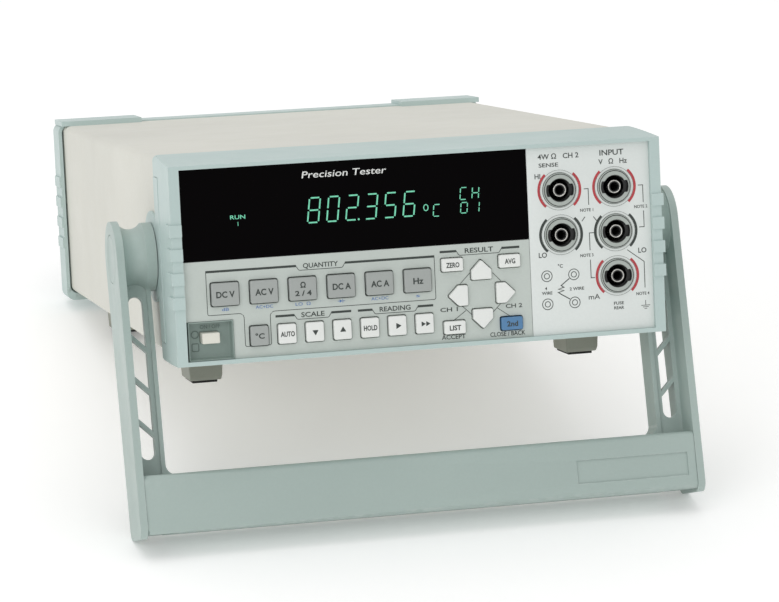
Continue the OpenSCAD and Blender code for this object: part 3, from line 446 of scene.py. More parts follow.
def pillow(corners, radius, faceY, backY, edge=0.45, crown=0.12, reach=None, flange=None):
    # A cap carried along its outline: straight skirt, quarter-round edge, then a low crown whose
    # height follows a parabola towards the middle; a flange stands out near the back
    rings = []
    if flange:
        out, f0, f1 = flange
        rings += [ringAt(convexOutline(corners, radius, -out), f1),
                  ringAt(convexOutline(corners, radius, -out), f0)]
        start = f0
    else:
        start = backY
    rings.append(ringAt(convexOutline(corners, radius), start))
    for t in np.linspace(0, math.pi / 2, 6):
        rings.append(ringAt(convexOutline(corners, radius, edge * (1 - math.cos(t))),
                            faceY + crown + edge * (1 - math.sin(t))))
    p = np.asarray(corners, float)
    reach = reach or 0.42 * min(np.ptp(p[:, 0]), np.ptp(p[:, 1]))
    for share in (0.25, 0.5, 0.75, 1.0):
        inset = edge + (reach - edge) * share
        rings.append(ringAt(convexOutline(corners, radius, inset), faceY + crown * (1 - share) ** 2))
    return ringShape(rings)


def turned(profile, x, z, around=48, loop=True, wide=None):
    # A profile of radius and depth carried round the axis through x, z; wide widens it by angle
    angle = np.linspace(0, 2 * math.pi, around, endpoint=False)
    rings = []
    for step in profile:
        radius = np.full(around, float(step[0]))
        if wide is not None and len(step) > 2:
            radius = radius + step[2] * wide(angle)
        rings.append(np.stack([x + radius * np.cos(angle), np.full(around, float(step[1])),
                               z + radius * np.sin(angle)], 1))
    return ringShape(rings, loop)


def strip(path, width, y0, y1, loop=False):
    # A flat band along a path in the panel: each point moves half the width along the mitre
    p = np.asarray(path, float)
    if loop:
        ahead, behind = np.roll(p, -1, 0) - p, p - np.roll(p, 1, 0)
    else:
        legs = np.diff(p, axis=0)
        ahead, behind = np.vstack([legs, legs[-1:]]), np.vstack([legs[:1], legs])
    ahead = ahead / np.linalg.norm(ahead, axis=1, keepdims=True)
    behind = behind / np.linalg.norm(behind, axis=1, keepdims=True)
    across = np.stack([-(ahead + behind)[:, 1], (ahead + behind)[:, 0]], 1)
    across /= np.maximum((across * np.stack([-ahead[:, 1], ahead[:, 0]], 1)).sum(1, keepdims=True), 0.3)
    left, right = p + across * width / 2, p - across * width / 2
    rings = np.stack([np.insert(left, 1, y0, 1), np.insert(right, 1, y0, 1),
                      np.insert(right, 1, y1, 1), np.insert(left, 1, y1, 1)], 1)
    return ringShape(rings, loop)


def softened(corners, radius, loop=False, steps=6):
    # Corners of a path become curves: (1-t)^2 a + 2t(1-t) corner + t^2 b, a and b a radius away
    p = np.asarray(corners, float)
    inner = p if loop else p[1:-1]
    before = np.roll(p, 1, 0) if loop else p[:-2]
    after = np.roll(p, -1, 0) if loop else p[2:]
    back, on = before - inner, after - inner
    a = inner + back / np.linalg.norm(back, axis=1, keepdims=True) * radius
    b = inner + on / np.linalg.norm(on, axis=1, keepdims=True) * radius
    t = np.linspace(0, 1, steps)[None, :, None]
    curve = (1 - t) ** 2 * a[:, None] + 2 * t * (1 - t) * inner[:, None] + t ** 2 * b[:, None]
    curve = curve.reshape(-1, 2)
    return curve if loop else np.vstack([p[:1], curve, p[-1:]])


def arcPath(x, z, radius, start, end, steps=24):
    angle = np.radians(np.linspace(start, end, steps))
    return np.stack([x + radius * np.cos(angle), z + radius * np.sin(angle)], 1)


def plate(corners, y0, y1, radius=0.0, perCorner=4):
    # A flat plate with its outline's corners rounded
    outline = convexOutline(corners, radius, 0.0, perCorner) if radius else np.asarray(corners, float)
    return ringShape([ringAt(outline, y0), ringAt(outline, y1)])


def discAt(centre, radius, around):
    angle = np.linspace(0, 2 * math.pi, around, endpoint=False)
    return centre + radius * np.stack([np.cos(angle), np.sin(angle)], 1)


def mitred(corners, inset):
    # Any simple outline moved in by inset: each corner slides along its mitre
    p = np.asarray(corners, float)
    along = np.roll(p, -1, 0) - p
    along /= np.linalg.norm(along, axis=1, keepdims=True)
    after = np.stack([along[:, 1], -along[:, 0]], 1)
    before = np.roll(after, 1, 0)
    return p - inset * (before + after) / (1 + (before * after).sum(1, keepdims=True))


def pierced(outer, holes, front, back, edge=0.25, steps=4):
    # A flat sheet with holes. Each rim is a quarter round: at angle t it has moved edge(1 - sin t)
    # away from the wall and edge(1 - cos t) into the depth; both faces are filled between the rims
    rims = [(outer, 1)] + [(hole, -1) for hole in holes]
    turns = np.linspace(0, math.pi / 2, steps)
    points, faces, fronts, backs, used = [], [], [], [], 0
    for shape, side in rims:
        rings = [ringAt(shape(side * edge * (1 - math.sin(t))), front + edge * (1 - math.cos(t)))
                 for t in turns]
        rings.append(ringAt(shape(0.0), back))
        ringPoints, ringFaces = ringShape(rings)
        around = len(rings[0])
        points.append(ringPoints)
        faces += [[i + used for i in face] for face in ringFaces[:-2]]
        fronts.append(used + np.arange(around))
        backs.append(used + len(rings) * around - around + np.arange(around))
        used += len(ringPoints)
    allPoints = np.vstack(points)
    for group in (fronts, backs):
        index = np.concatenate(group)
        loops = [[Vector((x, z, 0)) for x, _, z in allPoints[rim]] for rim in group]
        faces += [[int(index[i]) for i in face] for face in tessellate_polygon(loops)]
    return allPoints, faces


def lettering(text, x, z, height, face, width=None, slant=0.0, weight=0.0, depth=0.16, turnedBack=False):
    # A word set in the built-in face, made a mesh, then scaled so that its capitals have the height
    curve = bpy.data.curves.new("word", "FONT")
    curve.body = text
    curve.size = 1.0
    curve.extrude = 0.5
    curve.offset = weight
    curve.resolution_u = 3
    obj = bpy.data.objects.new("word", curve)
    bpy.context.scene.collection.objects.link(obj)
    bpy.context.view_layer.update()
    mesh = bpy.data.meshes.new_from_object(obj)
    bm = bmesh.new()
    bm.from_mesh(mesh)
    bmesh.ops.remove_doubles(bm, verts=bm.verts, dist=1e-5)
    bm.to_mesh(mesh)
    bm.free()
    flat = np.empty(len(mesh.vertices) * 3)
    mesh.vertices.foreach_get("co", flat)
    p = flat.reshape(-1, 3)
    faces = [list(f.vertices) for f in mesh.polygons]
    bpy.data.objects.remove(obj)
    bpy.data.curves.remove(curve)
    bpy.data.meshes.remove(mesh)
    capital = 0.72
    size = height / capital
    p[:, 0] -= (p[:, 0].min() + p[:, 0].max()) / 2
    p[:, 1] -= capital / 2
    squeeze = 1.0 if width is None else width / (np.ptp(p[:, 0]) * size)
    side = -1 if turnedBack else 1
    across = (p[:, 0] * squeeze + slant * p[:, 1]) * size * side
    out = np.stack([x + across, face - side * p[:, 2] * depth, z + p[:, 1] * size], 1)
    return out, faces


def makePiece(name, parts, material, body, stands=(), sharp=35, rowPoints=False):
    # Joins the parts into one mesh in the row frame, points its faces outwards and lets it ride
    points, faces, used = [], [], 0
    for partPoints, partFaces in parts:
        points.append(partPoints)
        faces += [[i + used for i in face] for face in partFaces]
        used += len(partPoints)
    allPoints = np.vstack(points)
    mesh = bpy.data.meshes.new(name)
    mesh.from_pydata((allPoints if rowPoints else toRow(allPoints)).tolist(), [], faces)
    bm = bmesh.new()
    bm.from_mesh(mesh)
    bmesh.ops.recalc_face_normals(bm, faces=bm.faces)
    bm.to_mesh(mesh)
    bm.free()
    mesh.shade_smooth()
    mesh.set_sharp_from_angle(angle=math.radians(sharp))
    mesh.materials.append(material)
    obj = bpy.data.objects.new(name, mesh)
    bpy.context.scene.collection.objects.link(obj)
    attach(obj, body)
    if stands:
        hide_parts(*stands)
    return obj


cleaning = dict(doubles=2e-6, flatAngle=0.8, manyCorners=40)


def roundedCopy(node, name, width, body, segments=3, angle=30, firstBevel=None):
    # A CAD node's shape with its doubles merged, its flat faces joined and its edges rounded. The
    # clamp holds the rounding far below its width where edges crowd; without it spikes stand out
    bm = bmesh.new()
    bm.from_mesh(frame["nodes"][node].data)
    bmesh.ops.remove_doubles(bm, verts=bm.verts, dist=cleaning["doubles"])
    bmesh.ops.dissolve_limit(bm, angle_limit=math.radians(cleaning["flatAngle"]), verts=bm.verts,
                             edges=bm.edges)
    if firstBevel:
        firstBevel(bm)
    windowed = [f for f in bm.faces if len(f.verts) > cleaning["manyCorners"]]
    if windowed:
        # Faces that run round a window are cut into simple ones
        bmesh.ops.connect_verts_concave(bm, faces=windowed)
    mesh = bpy.data.meshes.new(name)
    bm.to_mesh(mesh)
    bm.free()
    mesh.shade_smooth()
    mesh.set_sharp_from_angle(angle=math.radians(angle))
    mesh.materials.append(look[slotOfNode[node]])
    obj = bpy.data.objects.new(name, mesh)
    bpy.context.scene.collection.objects.link(obj)
    if width:
        bevel = obj.modifiers.new("rounding", "BEVEL")
        bevel.width = width * mm
        bevel.segments = segments
        bevel.limit_method = "ANGLE"
        bevel.angle_limit = math.radians(angle)
        bevel.use_clamp_overlap = True
        bevel.miter_outer = "MITER_ARC"
        bevel.harden_normals = True
    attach(obj, body)
    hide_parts(node)
    return obj


# Case: these keep the CAD shape. Edges are rounded as far as the clamp allows, the rear frame's not
caseRounding = dict(front_bezel=0.55, rear_frame=0, side_bracket_left=0.25, side_bracket_right=0.25,
                    feet=0.7, foot_pads=0.3, mains_inlet=0.4)
for node, width in caseRounding.items():
    roundedCopy(node, node + "_shell", width, "instrument")
print("case rounded")

# Display window: a gloss plate with the lit characters and the title on its face
windowLow, windowHigh = unitBox("display_window")
window = dict(corner=0.9, edge=0.3, face=windowLow[1])
makePiece("window_pane", [pillow(boxCorners(windowLow[0], windowLow[2], windowHigh[0], windowHigh[2]),
                                 window["corner"], windowLow[1], windowHigh[1], window["edge"], 0.0, 12.0)],
          look["window_acrylic"], "instrument", ["display_window"])

readout = dict(reading="802356", low=58.3, high=68.6, left=-47.9, pitch=8.2, width=4.6, slant=0.13,
               stroke=0.6)
# Segments on a unit cell: top, top right, low right, bottom, low left, top left, middle
cell = dict(a=((0, 1), (1, 1)), b=((1, 1), (1, 0.5)), c=((1, 0.5), (1, 0)), d=((0, 0), (1, 0)),
            e=((0, 0), (0, 0.5)), f=((0, 0.5), (0, 1)), g=((0, 0.5), (1, 0.5)))
shapesOf = {"0": "abcdef", "1": "bc", "2": "abged", "3": "abgcd", "4": "fgbc", "5": "afgcd", "6": "afgedc",
            "7": "abc", "8": "abcdefg", "9": "abfgcd", "C": "afed", "H": "fegbc"}


def segments(character, x, z, width, height, stroke, slant, face):
    parts = []
    for letter in shapesOf[character]:
        a, b = (np.array(q, float) * (width, height) for q in cell[letter])
        way = (b - a) / np.linalg.norm(b - a)
        gap = stroke * 0.75
        line = np.array([a + way * gap, b - way * gap])
        line[:, 0] += x + slant * line[:, 1]
        line[:, 1] += z
        parts.append(strip(line, stroke, face - 0.04, face + 0.05))
    return parts


def dot(x, z, radius, face, around=20):
    return turned([(radius, face - 0.04), (radius, face + 0.05)], x, z, around, loop=False)


def buildReadout(r, face):
    parts = []
    for k, character in enumerate(r["reading"]):
        parts += segments(character, r["left"] + k * r["pitch"], r["low"], r["width"],
                          r["high"] - r["low"], r["stroke"], r["slant"], face)
    parts.append(dot(r["left"] + 2 * r["pitch"] + r["width"] + 0.9, r["low"] + 0.1, 0.42, face))
    ring = arcPath(0, 0, 1.0, 0, 340, 18) * (0.95, 1.3) + (3.1, 61.4)
    parts.append(strip(ring, 0.36, face - 0.04, face + 0.05, loop=True))
    small = [("C", 6.1, 57.5, 4.9), ("C", 18.0, 63.8, 5.0), ("H", 23.2, 63.8, 5.0), ("0", 18.0, 58.1, 4.4),
             ("1", 23.2, 58.1, 4.4)]
    for character, x, z, height in small:
        parts += segments(character, x, z, 2.8, height, 0.4, 0.1, face)
    return parts


makePiece("readout_characters", buildReadout(readout, window["face"]), phosphor, "instrument")
makePiece("readout_marks", [lettering("RUN", -77.4, 62.7, 1.7, window["face"], 6.4, weight=0.01),
                            lettering("1", -77.4, 59.9, 1.7, window["face"])],
          phosphor, "instrument")
makePiece("window_title",
          [lettering("Precision Tester", -31.3, 78.5, 2.9, window["face"], 36.0, 0.18, 0.004)],
          inkWhite, "instrument")
print("display built")

# Power button's dish: one closed skin from the back, round the rim, down to the floor and the hole
dishLow, dishHigh = unitBox("power_surround")
panelLow, panelHigh = unitBox("key_panel")
powerLow, powerHigh = unitBox("key_power")
dish = dict(rim=0.45, floorY=6.2, corner=0.4, holeGap=0.15, wallSlope=0.15)


def buildDish(d):
    outer = boxCorners(dishLow[0], panelLow[2] + 0.1, dishHigh[0], dishHigh[2])
    gap = d["holeGap"]
    hole = boxCorners(powerLow[0] - gap, powerLow[2] - gap, powerHigh[0] + gap, powerHigh[2] + gap)
    back, front = dishHigh[1], dishLow[1]
    rings = [ringAt(convexOutline(outer, d["corner"]), back),
             ringAt(convexOutline(outer, d["corner"]), front + 0.3)]
    for t in np.linspace(0, math.pi, 9):
        half = d["rim"] / 2
        rings.append(ringAt(convexOutline(outer, d["corner"], half * (1 - math.cos(t))),
                            front + 0.3 * (1 - math.sin(t))))
    inner = d["rim"] + d["wallSlope"]
    for t in np.linspace(0, math.pi / 2, 5):
        rings.append(ringAt(convexOutline(outer, 1.2, inner + 0.8 * (1 - math.cos(t))),
                            d["floorY"] - 0.8 * (1 - math.sin(t))))
    rings.append(ringAt(convexOutline(hole, 0.4, -0.15), d["floorY"]))
    rings.append(ringAt(convexOutline(hole, 0.4), d["floorY"] + 0.15))
    rings.append(ringAt(convexOutline(hole, 0.4), back))
    return ringShape(rings, loop=True)


# The dish's darker colour is painted shade of the recess
makePiece("power_dish", [buildDish(dish)], look["dish_plastic"], "instrument",
          ["power_surround"])


def powerMarks(m):
    # A ring for off over a square for on, left of the button, and a small caption above it
    left, face, deep = dishLow[0] + m["left"], dish["floorY"] - m["proud"], dish["floorY"] + 0.1
    ring = arcPath(left, powerLow[2] + 3.6, 1.5, 0, 350, 28)
    square = boxCorners(left - 1.4, powerLow[2] - 3.4, left + 1.4, powerLow[2] - 0.2)
    return [strip(ring, m["line"], face, deep, loop=True),
            strip(convexOutline(square, 0.5), m["line"], face, deep, loop=True),
            lettering("ON / OFF", (powerLow[0] + powerHigh[0]) / 2 + 0.6, powerHigh[2] + 2.2, 1.7,
                      face + 0.06, 8.5, weight=0.012)]


makePiece("power_marks", powerMarks(dict(left=3.6, proud=0.12, line=0.45)), inkDish, "instrument")


def panelOutline(inset):
    # The key panel, with the dish's corner left out
    notchX, notchZ = dishHigh[0] + 0.1, dishHigh[2] + 0.1
    corners = [(notchX, panelLow[2]), (panelHigh[0], panelLow[2]), (panelHigh[0], panelHigh[2]),
               (panelLow[0], panelHigh[2]), (panelLow[0], notchZ), (notchX, notchZ)]
    return mitred(corners, inset)


# Keys: every cap rides on its own body, with its legend
key = dict(flange=0.8, flangeT=1.0, corner=0.7, edge=0.4, crown=0.12, stemR=1.9)
stemBack = unitBox("key_auto")[1][1]
capBack = unitBox("key_panel")[1][1] + 0.3
bodyOf = {}
for bodyName, nodesInBody in record["behaviour"]["bodies"].items():
    for node in nodesInBody:
        bodyOf[node] = bodyName


def squareCap(node, k):
    low, high = unitBox(node)
    corners = boxCorners(low[0] + k["flange"], low[2] + k["flange"], high[0] - k["flange"],
                         high[2] - k["flange"])
    return corners, ((low[0] + high[0]) / 2, (low[2] + high[2]) / 2)


def stem(x, z, k):
    return turned([(k["stemR"], capBack + 0.2), (k["stemR"], stemBack - 0.3), (k["stemR"] - 0.3, stemBack)],
                  x, z, 24, loop=False)


def capPiece(node, corners, stemAt, k, reach=None):
    slotName = slotOfNode[node]
    cap = pillow(corners, k["corner"], unitBox(node)[0][1], capBack, k["edge"], k["crown"], reach,
                 flange=(k["flange"], capBack, capBack + k["flangeT"]))
    makePiece(node + "_cap", [cap, stem(*stemAt, k)], look[slotName], bodyOf[node], [node])


squareKeys = ["key_dc_volts", "key_ac_volts", "key_ohms", "key_dc_amps", "key_ac_amps", "key_frequency",
              "key_temperature", "key_auto", "key_down", "key_up", "key_hold", "key_trigger", "key_rate",
              "key_null", "key_smoothing", "key_menu", "key_shift"]
middleOf = {}
for node in squareKeys:
    corners, middle = squareCap(node, key)
    capPiece(node, corners, middle, key)
    middleOf[node] = middle

padX = (unitBox("arrow_left")[0][0] + unitBox("arrow_right")[1][0]) / 2
padZ = (unitBox("arrow_down")[0][2] + unitBox("arrow_up")[1][2]) / 2
upLow, upHigh = unitBox("arrow_up")
arrow = dict(half=(upHigh[0] - upLow[0]) / 2 - key["flange"], base=upLow[2] - padZ + key["flange"],
             tip=upHigh[2] - padZ - 1.4 * key["flange"], stemDrop=1.0)


def arrowCorners(turn):
    # A house pointing away from the pad's middle, turned clockwise from up
    a = arrow
    shoulder = a["tip"] - a["half"]
    house = np.array([(-a["half"], a["base"]), (a["half"], a["base"]), (a["half"], shoulder),
                      (0, a["tip"]), (-a["half"], shoulder)])
    c, s = math.cos(math.radians(turn)), math.sin(math.radians(turn))
    return house @ np.array([[c, -s], [s, c]]) + (padX, padZ)


for node, turn in (("arrow_up", 0), ("arrow_right", 90), ("arrow_down", 180), ("arrow_left", 270)):
    reach = (arrow["tip"] + arrow["base"]) / 2 - arrow["stemDrop"]
    at = (padX + reach * math.sin(math.radians(turn)), padZ + reach * math.cos(math.radians(turn)))
    capPiece(node, arrowCorners(turn), at, key, 2.2)

keyHole = dict(gap=0.45, corner=0.5, edge=0.22)


def keyHoles(h):
    shapes = [squareCap(node, key)[0] for node in squareKeys] + [arrowCorners(turn)
                                                                 for turn in (0, 90, 180, 270)]
    return [lambda inset, c=corners: convexOutline(c, h["corner"], inset - h["gap"]) for corners in shapes]


makePiece("key_panel_sheet",
          [pierced(panelOutline, keyHoles(keyHole), panelLow[1], panelHigh[1], keyHole["edge"])],
          look["panel_plastic"], "instrument", ["key_panel"])

powerCorners = boxCorners(powerLow[0], powerLow[2], powerHigh[0], powerHigh[2])
powerMiddle = ((powerLow[0] + powerHigh[0]) / 2, (powerLow[2] + powerHigh[2]) / 2)
powerStem = turned([(1.5, 10.0), (1.5, powerHigh[1] - 0.3), (1.2, powerHigh[1])], *powerMiddle, 24,
                   loop=False)
makePiece("key_power_cap", [pillow(powerCorners, 0.5, powerLow[1], 10.7, 0.45, 0.15), powerStem],
          look["key_cream_plastic"], "key_power", ["key_power"])
print("keys built")

# Legends on the keys: unit signs, figures and plain symbols
keyFace = unitBox("key_auto")[0][1] - 0.03
inkBack = keyFace + 0.16


def triangle(x, z, size, turn):
    angle = np.radians(np.array([90, 210, 330]) + turn)
    corners = np.stack([x + size * np.cos(angle), z + size * np.sin(angle)], 1)
    return plate(corners, keyFace, inkBack, 0.12, 3)


def word(text, node, dx=0.0, dz=0.0, height=2.6, width=None, weight=0.028):
    x, z = middleOf[node]
    return lettering(text, x + dx, z + dz, height, keyFace + 0.08, width, weight=weight)


def keyLegends():
    at = middleOf
    legends = {
        "key_dc_volts": [word("DC V", "key_dc_volts", width=7.8)],
        "key_ac_volts": [word("AC V", "key_ac_volts", width=7.8)],
        "key_ohms": [word("Ω", "key_ohms", 0, 1.7, 2.3), word("2 / 4", "key_ohms", 0, -1.7, 2.1, 7.0)],
        "key_dc_amps": [word("DC A", "key_dc_amps", width=7.8)],
        "key_ac_amps": [word("AC A", "key_ac_amps", width=7.8)],
        "key_frequency": [word("Hz", "key_frequency", width=4.4)],
        "key_temperature": [word("°C", "key_temperature", 0, 0, 2.2, 3.9)],
        "key_auto": [word("AUTO", "key_auto", 0, 0, 2.1, 6.0)],
        "key_down": [triangle(*at["key_down"], 1.5, 180)],
        "key_up": [triangle(*at["key_up"], 1.5, 0)],
        "key_hold": [word("HOLD", "key_hold", 0, 0, 2.1, 5.8)],
        "key_trigger": [triangle(*at["key_trigger"], 1.5, -90)],
        "key_rate": [triangle(at["key_rate"][0] + dx, at["key_rate"][1], 1.25, -90) for dx in (-1.0, 1.0)],
        "key_null": [word("ZERO", "key_null", 0, 0, 2.1, 5.8)],
        "key_smoothing": [word("AVG", "key_smoothing", 0, 0, 2.1, 4.6)],
        "key_menu": [word("LIST", "key_menu", 0, 0, 2.1, 5.0)],
        "key_shift": [word("2nd", "key_shift", 0, 0, 2.2, 4.8)],
    }
    for node, parts in legends.items():
        makePiece(node + "_legend", parts, inkDarkAndPaintedShadow, bodyOf[node])


keyLegends()
print("key legends printed")

# Printing on the panels stands this far out of them and reaches a little into them
inkFace = panelDepth - 0.04
inkDeep = panelDepth + 0.05
fine, thick = 0.26, 0.95


def panelLine(points, width=fine, radius=0.0, loop=False):
    path = softened(points, radius, loop) if radius else points
    return strip(path, width, inkFace, inkDeep, loop)


def caption(text, x, z, height=1.7, width=None, weight=0.008, slant=0.0):
    return lettering(text, x, z, height, inkFace + 0.06, width, slant, weight)


def tabbedBar(left, tabLeft, tabRight, right, z, text, textWidth, radius=0.5):
    # A thick bar with a tab let into it; the caption stands in the tab
    drop = 1.9
    tab = [(tabLeft - 0.2, z + 0.3), (tabLeft + 1.2, z - drop), (tabRight - 1.2, z - drop),
           (tabRight + 0.2, z + 0.3)]
    return [panelLine([(left, z), (tabLeft, z)], thick), panelLine([(tabRight, z), (right, z)], thick),
            panelLine(tab, fine, radius),
            caption(text, (tabLeft + tabRight) / 2, z - 0.05, 2.05, textWidth, 0.014)]


def keyPanelPrint():
    frameLine = [(5.7, 40.4), (5.7, 22.4), (-64.4, 22.4), (-65.7, 21.2), (-65.7, 8.4), (-76.8, 8.4),
                 (-76.8, 21.2), (-78.0, 22.4), (-92.1, 22.4), (-92.1, 40.4)]
    parts = [panelLine(frameLine, fine, 0.9)]
    parts += tabbedBar(-92.2, -53.8, -32.8, 5.8, 40.6, "QUANTITY", 15.0)
    parts += tabbedBar(-63.5, -55.4, -39.6, -31.1, 20.1, "SCALE", 10.0)
    parts += tabbedBar(-28.2, -22.0, -2.3, 4.4, 20.0, "READING", 13.4)
    parts += tabbedBar(8.2, 15.4, 35.2, 43.0, 42.2, "RESULT", 12.4)
    diagonals = [((16.6, 28.3), (20.9, 32.6)), ((30.8, 32.0), (34.3, 28.3)), ((16.8, 18.9), (21.0, 14.9)),
                 ((33.8, 18.6), (30.5, 15.4))]
    parts += [panelLine(list(ends)) for ends in diagonals]
    parts += [panelLine([(18.5, 16.7), (12.8, 12.7)]), panelLine([(32.1, 17.0), (38.0, 12.8)])]
    parts += [caption("CH 1", 11.2, 17.7, 1.8, 7.6, 0.012), caption("CH 2", 39.6, 17.4, 1.8, 7.2, 0.012),
              caption("ACCEPT", 12.7, 6.0, 1.9, 10.4, 0.012),
              caption("CLOSE / BACK", 36.4, 5.7, 1.9, 15.4, 0.012)]
    return parts


makePiece("key_panel_print", keyPanelPrint(), inkDarkAndPaintedShadow, "instrument")


def shiftedLegends():
    xs = [middleOf[n][0] for n in squareKeys[:6]]
    z = 24.6
    parts = [lettering(text, x, z, 1.35, inkFace + 0.06, width, 0, 0.006)
             for text, x,
             width in zip(("dB", "AC+DC", "LO  Ω", "", "AC+DC", "s"), xs, (3.0, 7.4, 6.4, 0, 7.4, 1.6))
             if text]
    x = xs[3]
    parts += [plate([(x - 0.8, z - 0.7), (x + 0.4, z), (x - 0.8, z + 0.7)], inkFace, inkDeep),
              panelLine([(x + 0.55, z - 0.75), (x + 0.55, z + 0.75)], 0.22),
              panelLine([(x - 1.7, z), (x - 0.8, z)], 0.2), panelLine([(x + 0.5, z), (x + 1.5, z)], 0.2)]
    return parts


makePiece("shifted_legends", shiftedLegends(), inkBlue, "instrument")
print("key panel printed")

# Jacks: grey ring with two lobes, black well, plated contact, and the printed arcs round them
jack = dict(ringR=7.3, wellR=5.0, lobe=1.15, lobeHalf=27.0, depth=22.0, proud=1.4,
            contactR=2.85, lipR=2.35, boreR=2.0, contactL=31.4)


def placeOf(name):
    x, _, z = toUnit([mountNamed[name]["pos_m"]])[0]
    return x, z


frontJacks = ["jack_sense_hi", "jack_input_hi", "jack_sense_lo", "jack_input_lo", "jack_current"]
rearJacks = ["rear_sense_hi", "rear_input_hi", "rear_sense_lo", "rear_input_lo"]
jackPanelLow, jackPanelHigh = unitBox("jack_panel")


def jackHoles(radius=6.2):
    return [lambda inset, c=placeOf(name): discAt(c, radius - inset, 48) for name in frontJacks]


def jackPanelOutline(inset):
    return mitred(boxCorners(jackPanelLow[0], jackPanelLow[2], jackPanelHigh[0], jackPanelHigh[2]), inset)


makePiece("jack_panel_sheet",
          [pierced(jackPanelOutline, jackHoles(), jackPanelLow[1], jackPanelHigh[1], 0.2)],
          look["jack_panel_plastic"], "instrument", ["jack_panel"])


def lobes(angle):
    # One where the well opens to the left and right, falling to nothing within a few degrees
    off = np.degrees(np.abs(np.arcsin(np.clip(np.sin(angle), -1, 1))))
    return np.clip((jack["lobeHalf"] - off) / 4 + 0.5, 0, 1)


def jackShapes(x, z, seat, side):
    # seat is the panel's face; side is 1 on the front, where depth runs along +y, and -1 on the rear
    j = jack
    def at(depth):
        return seat + side * depth
    ring = [(6.2, at(0.0)), (j["ringR"], at(0.0)), (j["ringR"], at(-0.6)), (7.15, at(-0.85)),
            (6.95, at(-0.9)),
            (6.85, at(-0.75)), (6.7, at(-0.75)), (6.6, at(-1.25)), (6.5, at(-j["proud"])),
            (j["wellR"] + 0.2, at(-j["proud"]), j["lobe"]), (j["wellR"], at(-j["proud"] + 0.25), j["lobe"]),
            (j["wellR"], at(0.6), j["lobe"]), (6.2, at(0.6))]
    well = [(6.18, at(0.5)), (j["wellR"] - 0.02, at(0.5), j["lobe"]),
            (j["wellR"] - 0.02, at(-1.0), j["lobe"] - 0.02),
            (j["wellR"] - 0.2, at(-1.0), j["lobe"] - 0.02), (j["wellR"] - 0.25, at(0.8), j["lobe"] - 0.02),
            (4.5, at(1.0)),
            (4.4, at(16.0)), (3.2, at(18.0)), (3.0, at(24.0)), (6.18, at(24.0))]
    contact = [(j["lipR"], at(-0.5)), (j["lipR"] + 0.12, at(-0.6)), (j["contactR"] - 0.12, at(-0.6)),
               (j["contactR"], at(-0.5)), (j["contactR"], at(j["contactL"])), (0.4, at(j["contactL"])),
               (0.4, at(j["depth"])), (j["boreR"], at(j["depth"])), (j["boreR"], at(4.0)),
               (j["lipR"], at(3.8))]
    liner = [(1.9, at(-0.35)), (j["lipR"] - 0.01, at(-0.35)), (j["lipR"] - 0.01, at(3.75)),
             (1.99, at(3.95)),
             (1.99, at(21.9)), (0.4, at(21.9)), (0.4, at(21.7)), (1.9, at(21.7))]
    # A black ring laid across the ring's groove: painted shade in the groove
    lines = [(6.98, at(-0.94)), (6.98, at(-0.8)), (6.62, at(-0.8)), (6.62, at(-0.94))]
    return (turned(ring, x, z, 96, wide=lobes), turned(well, x, z, 96, wide=lobes),
            turned(contact, x, z, 40),
            turned(liner, x, z, 40), turned(lines, x, z, 64))


def buildJacks(names, seat, side, tag, shroudNode, contactNode):
    made = [jackShapes(*placeOf(name), seat, side) for name in names]
    makePiece(tag + "_jack_rings", [m[0] for m in made], look["shroud_plastic"], "instrument",
              [shroudNode])
    # Wells and liners are black plastic; the groove rings in this piece are painted shade
    makePiece(tag + "_jack_wells_and_groove_shade", [m[k] for m in made for k in (1, 3, 4)], look["black_plastic"],
              "instrument")
    makePiece(tag + "_jack_contacts", [m[2] for m in made], look["contact_nickel"], "instrument",
              [contactNode])


rearSeat = unitBox("rear_panel")[1][1]
buildJacks(frontJacks, panelDepth, 1, "front", "jack_shrouds", "jack_contacts")
buildJacks(rearJacks, rearSeat, -1, "rear", "rear_shrouds", "rear_contacts")


def jackArcs(names, radius=9.15, width=1.05, half=48):
    parts = []
    for name in names:
        x, z = placeOf(name)
        parts += [strip(arcPath(x, z, radius, -half, half), width, inkFace, inkDeep),
                  strip(arcPath(x, z, radius, 180 - half, 180 + half), width, inkFace, inkDeep)]
    return parts


# Dark rings on the panel just outside each jack's ring: painted shadow of the ring
def ringShadows(names):
    return [strip(arcPath(*placeOf(name), 7.42, 0, 355, 64), 0.2, inkFace, inkDeep, loop=True)
            for name in names]


def thinRings(names, radius=8.5, width=0.12):
    return [strip(arcPath(*placeOf(name), radius, 0, 355, 72), width, inkFace, inkDeep, loop=True)
            for name in names]


hotJacks = ["jack_sense_hi", "jack_input_hi", "jack_current"]
lowJacks = ["jack_sense_lo", "jack_input_lo"]
makePiece("jack_arcs_red", jackArcs(hotJacks), inkRed, "instrument")
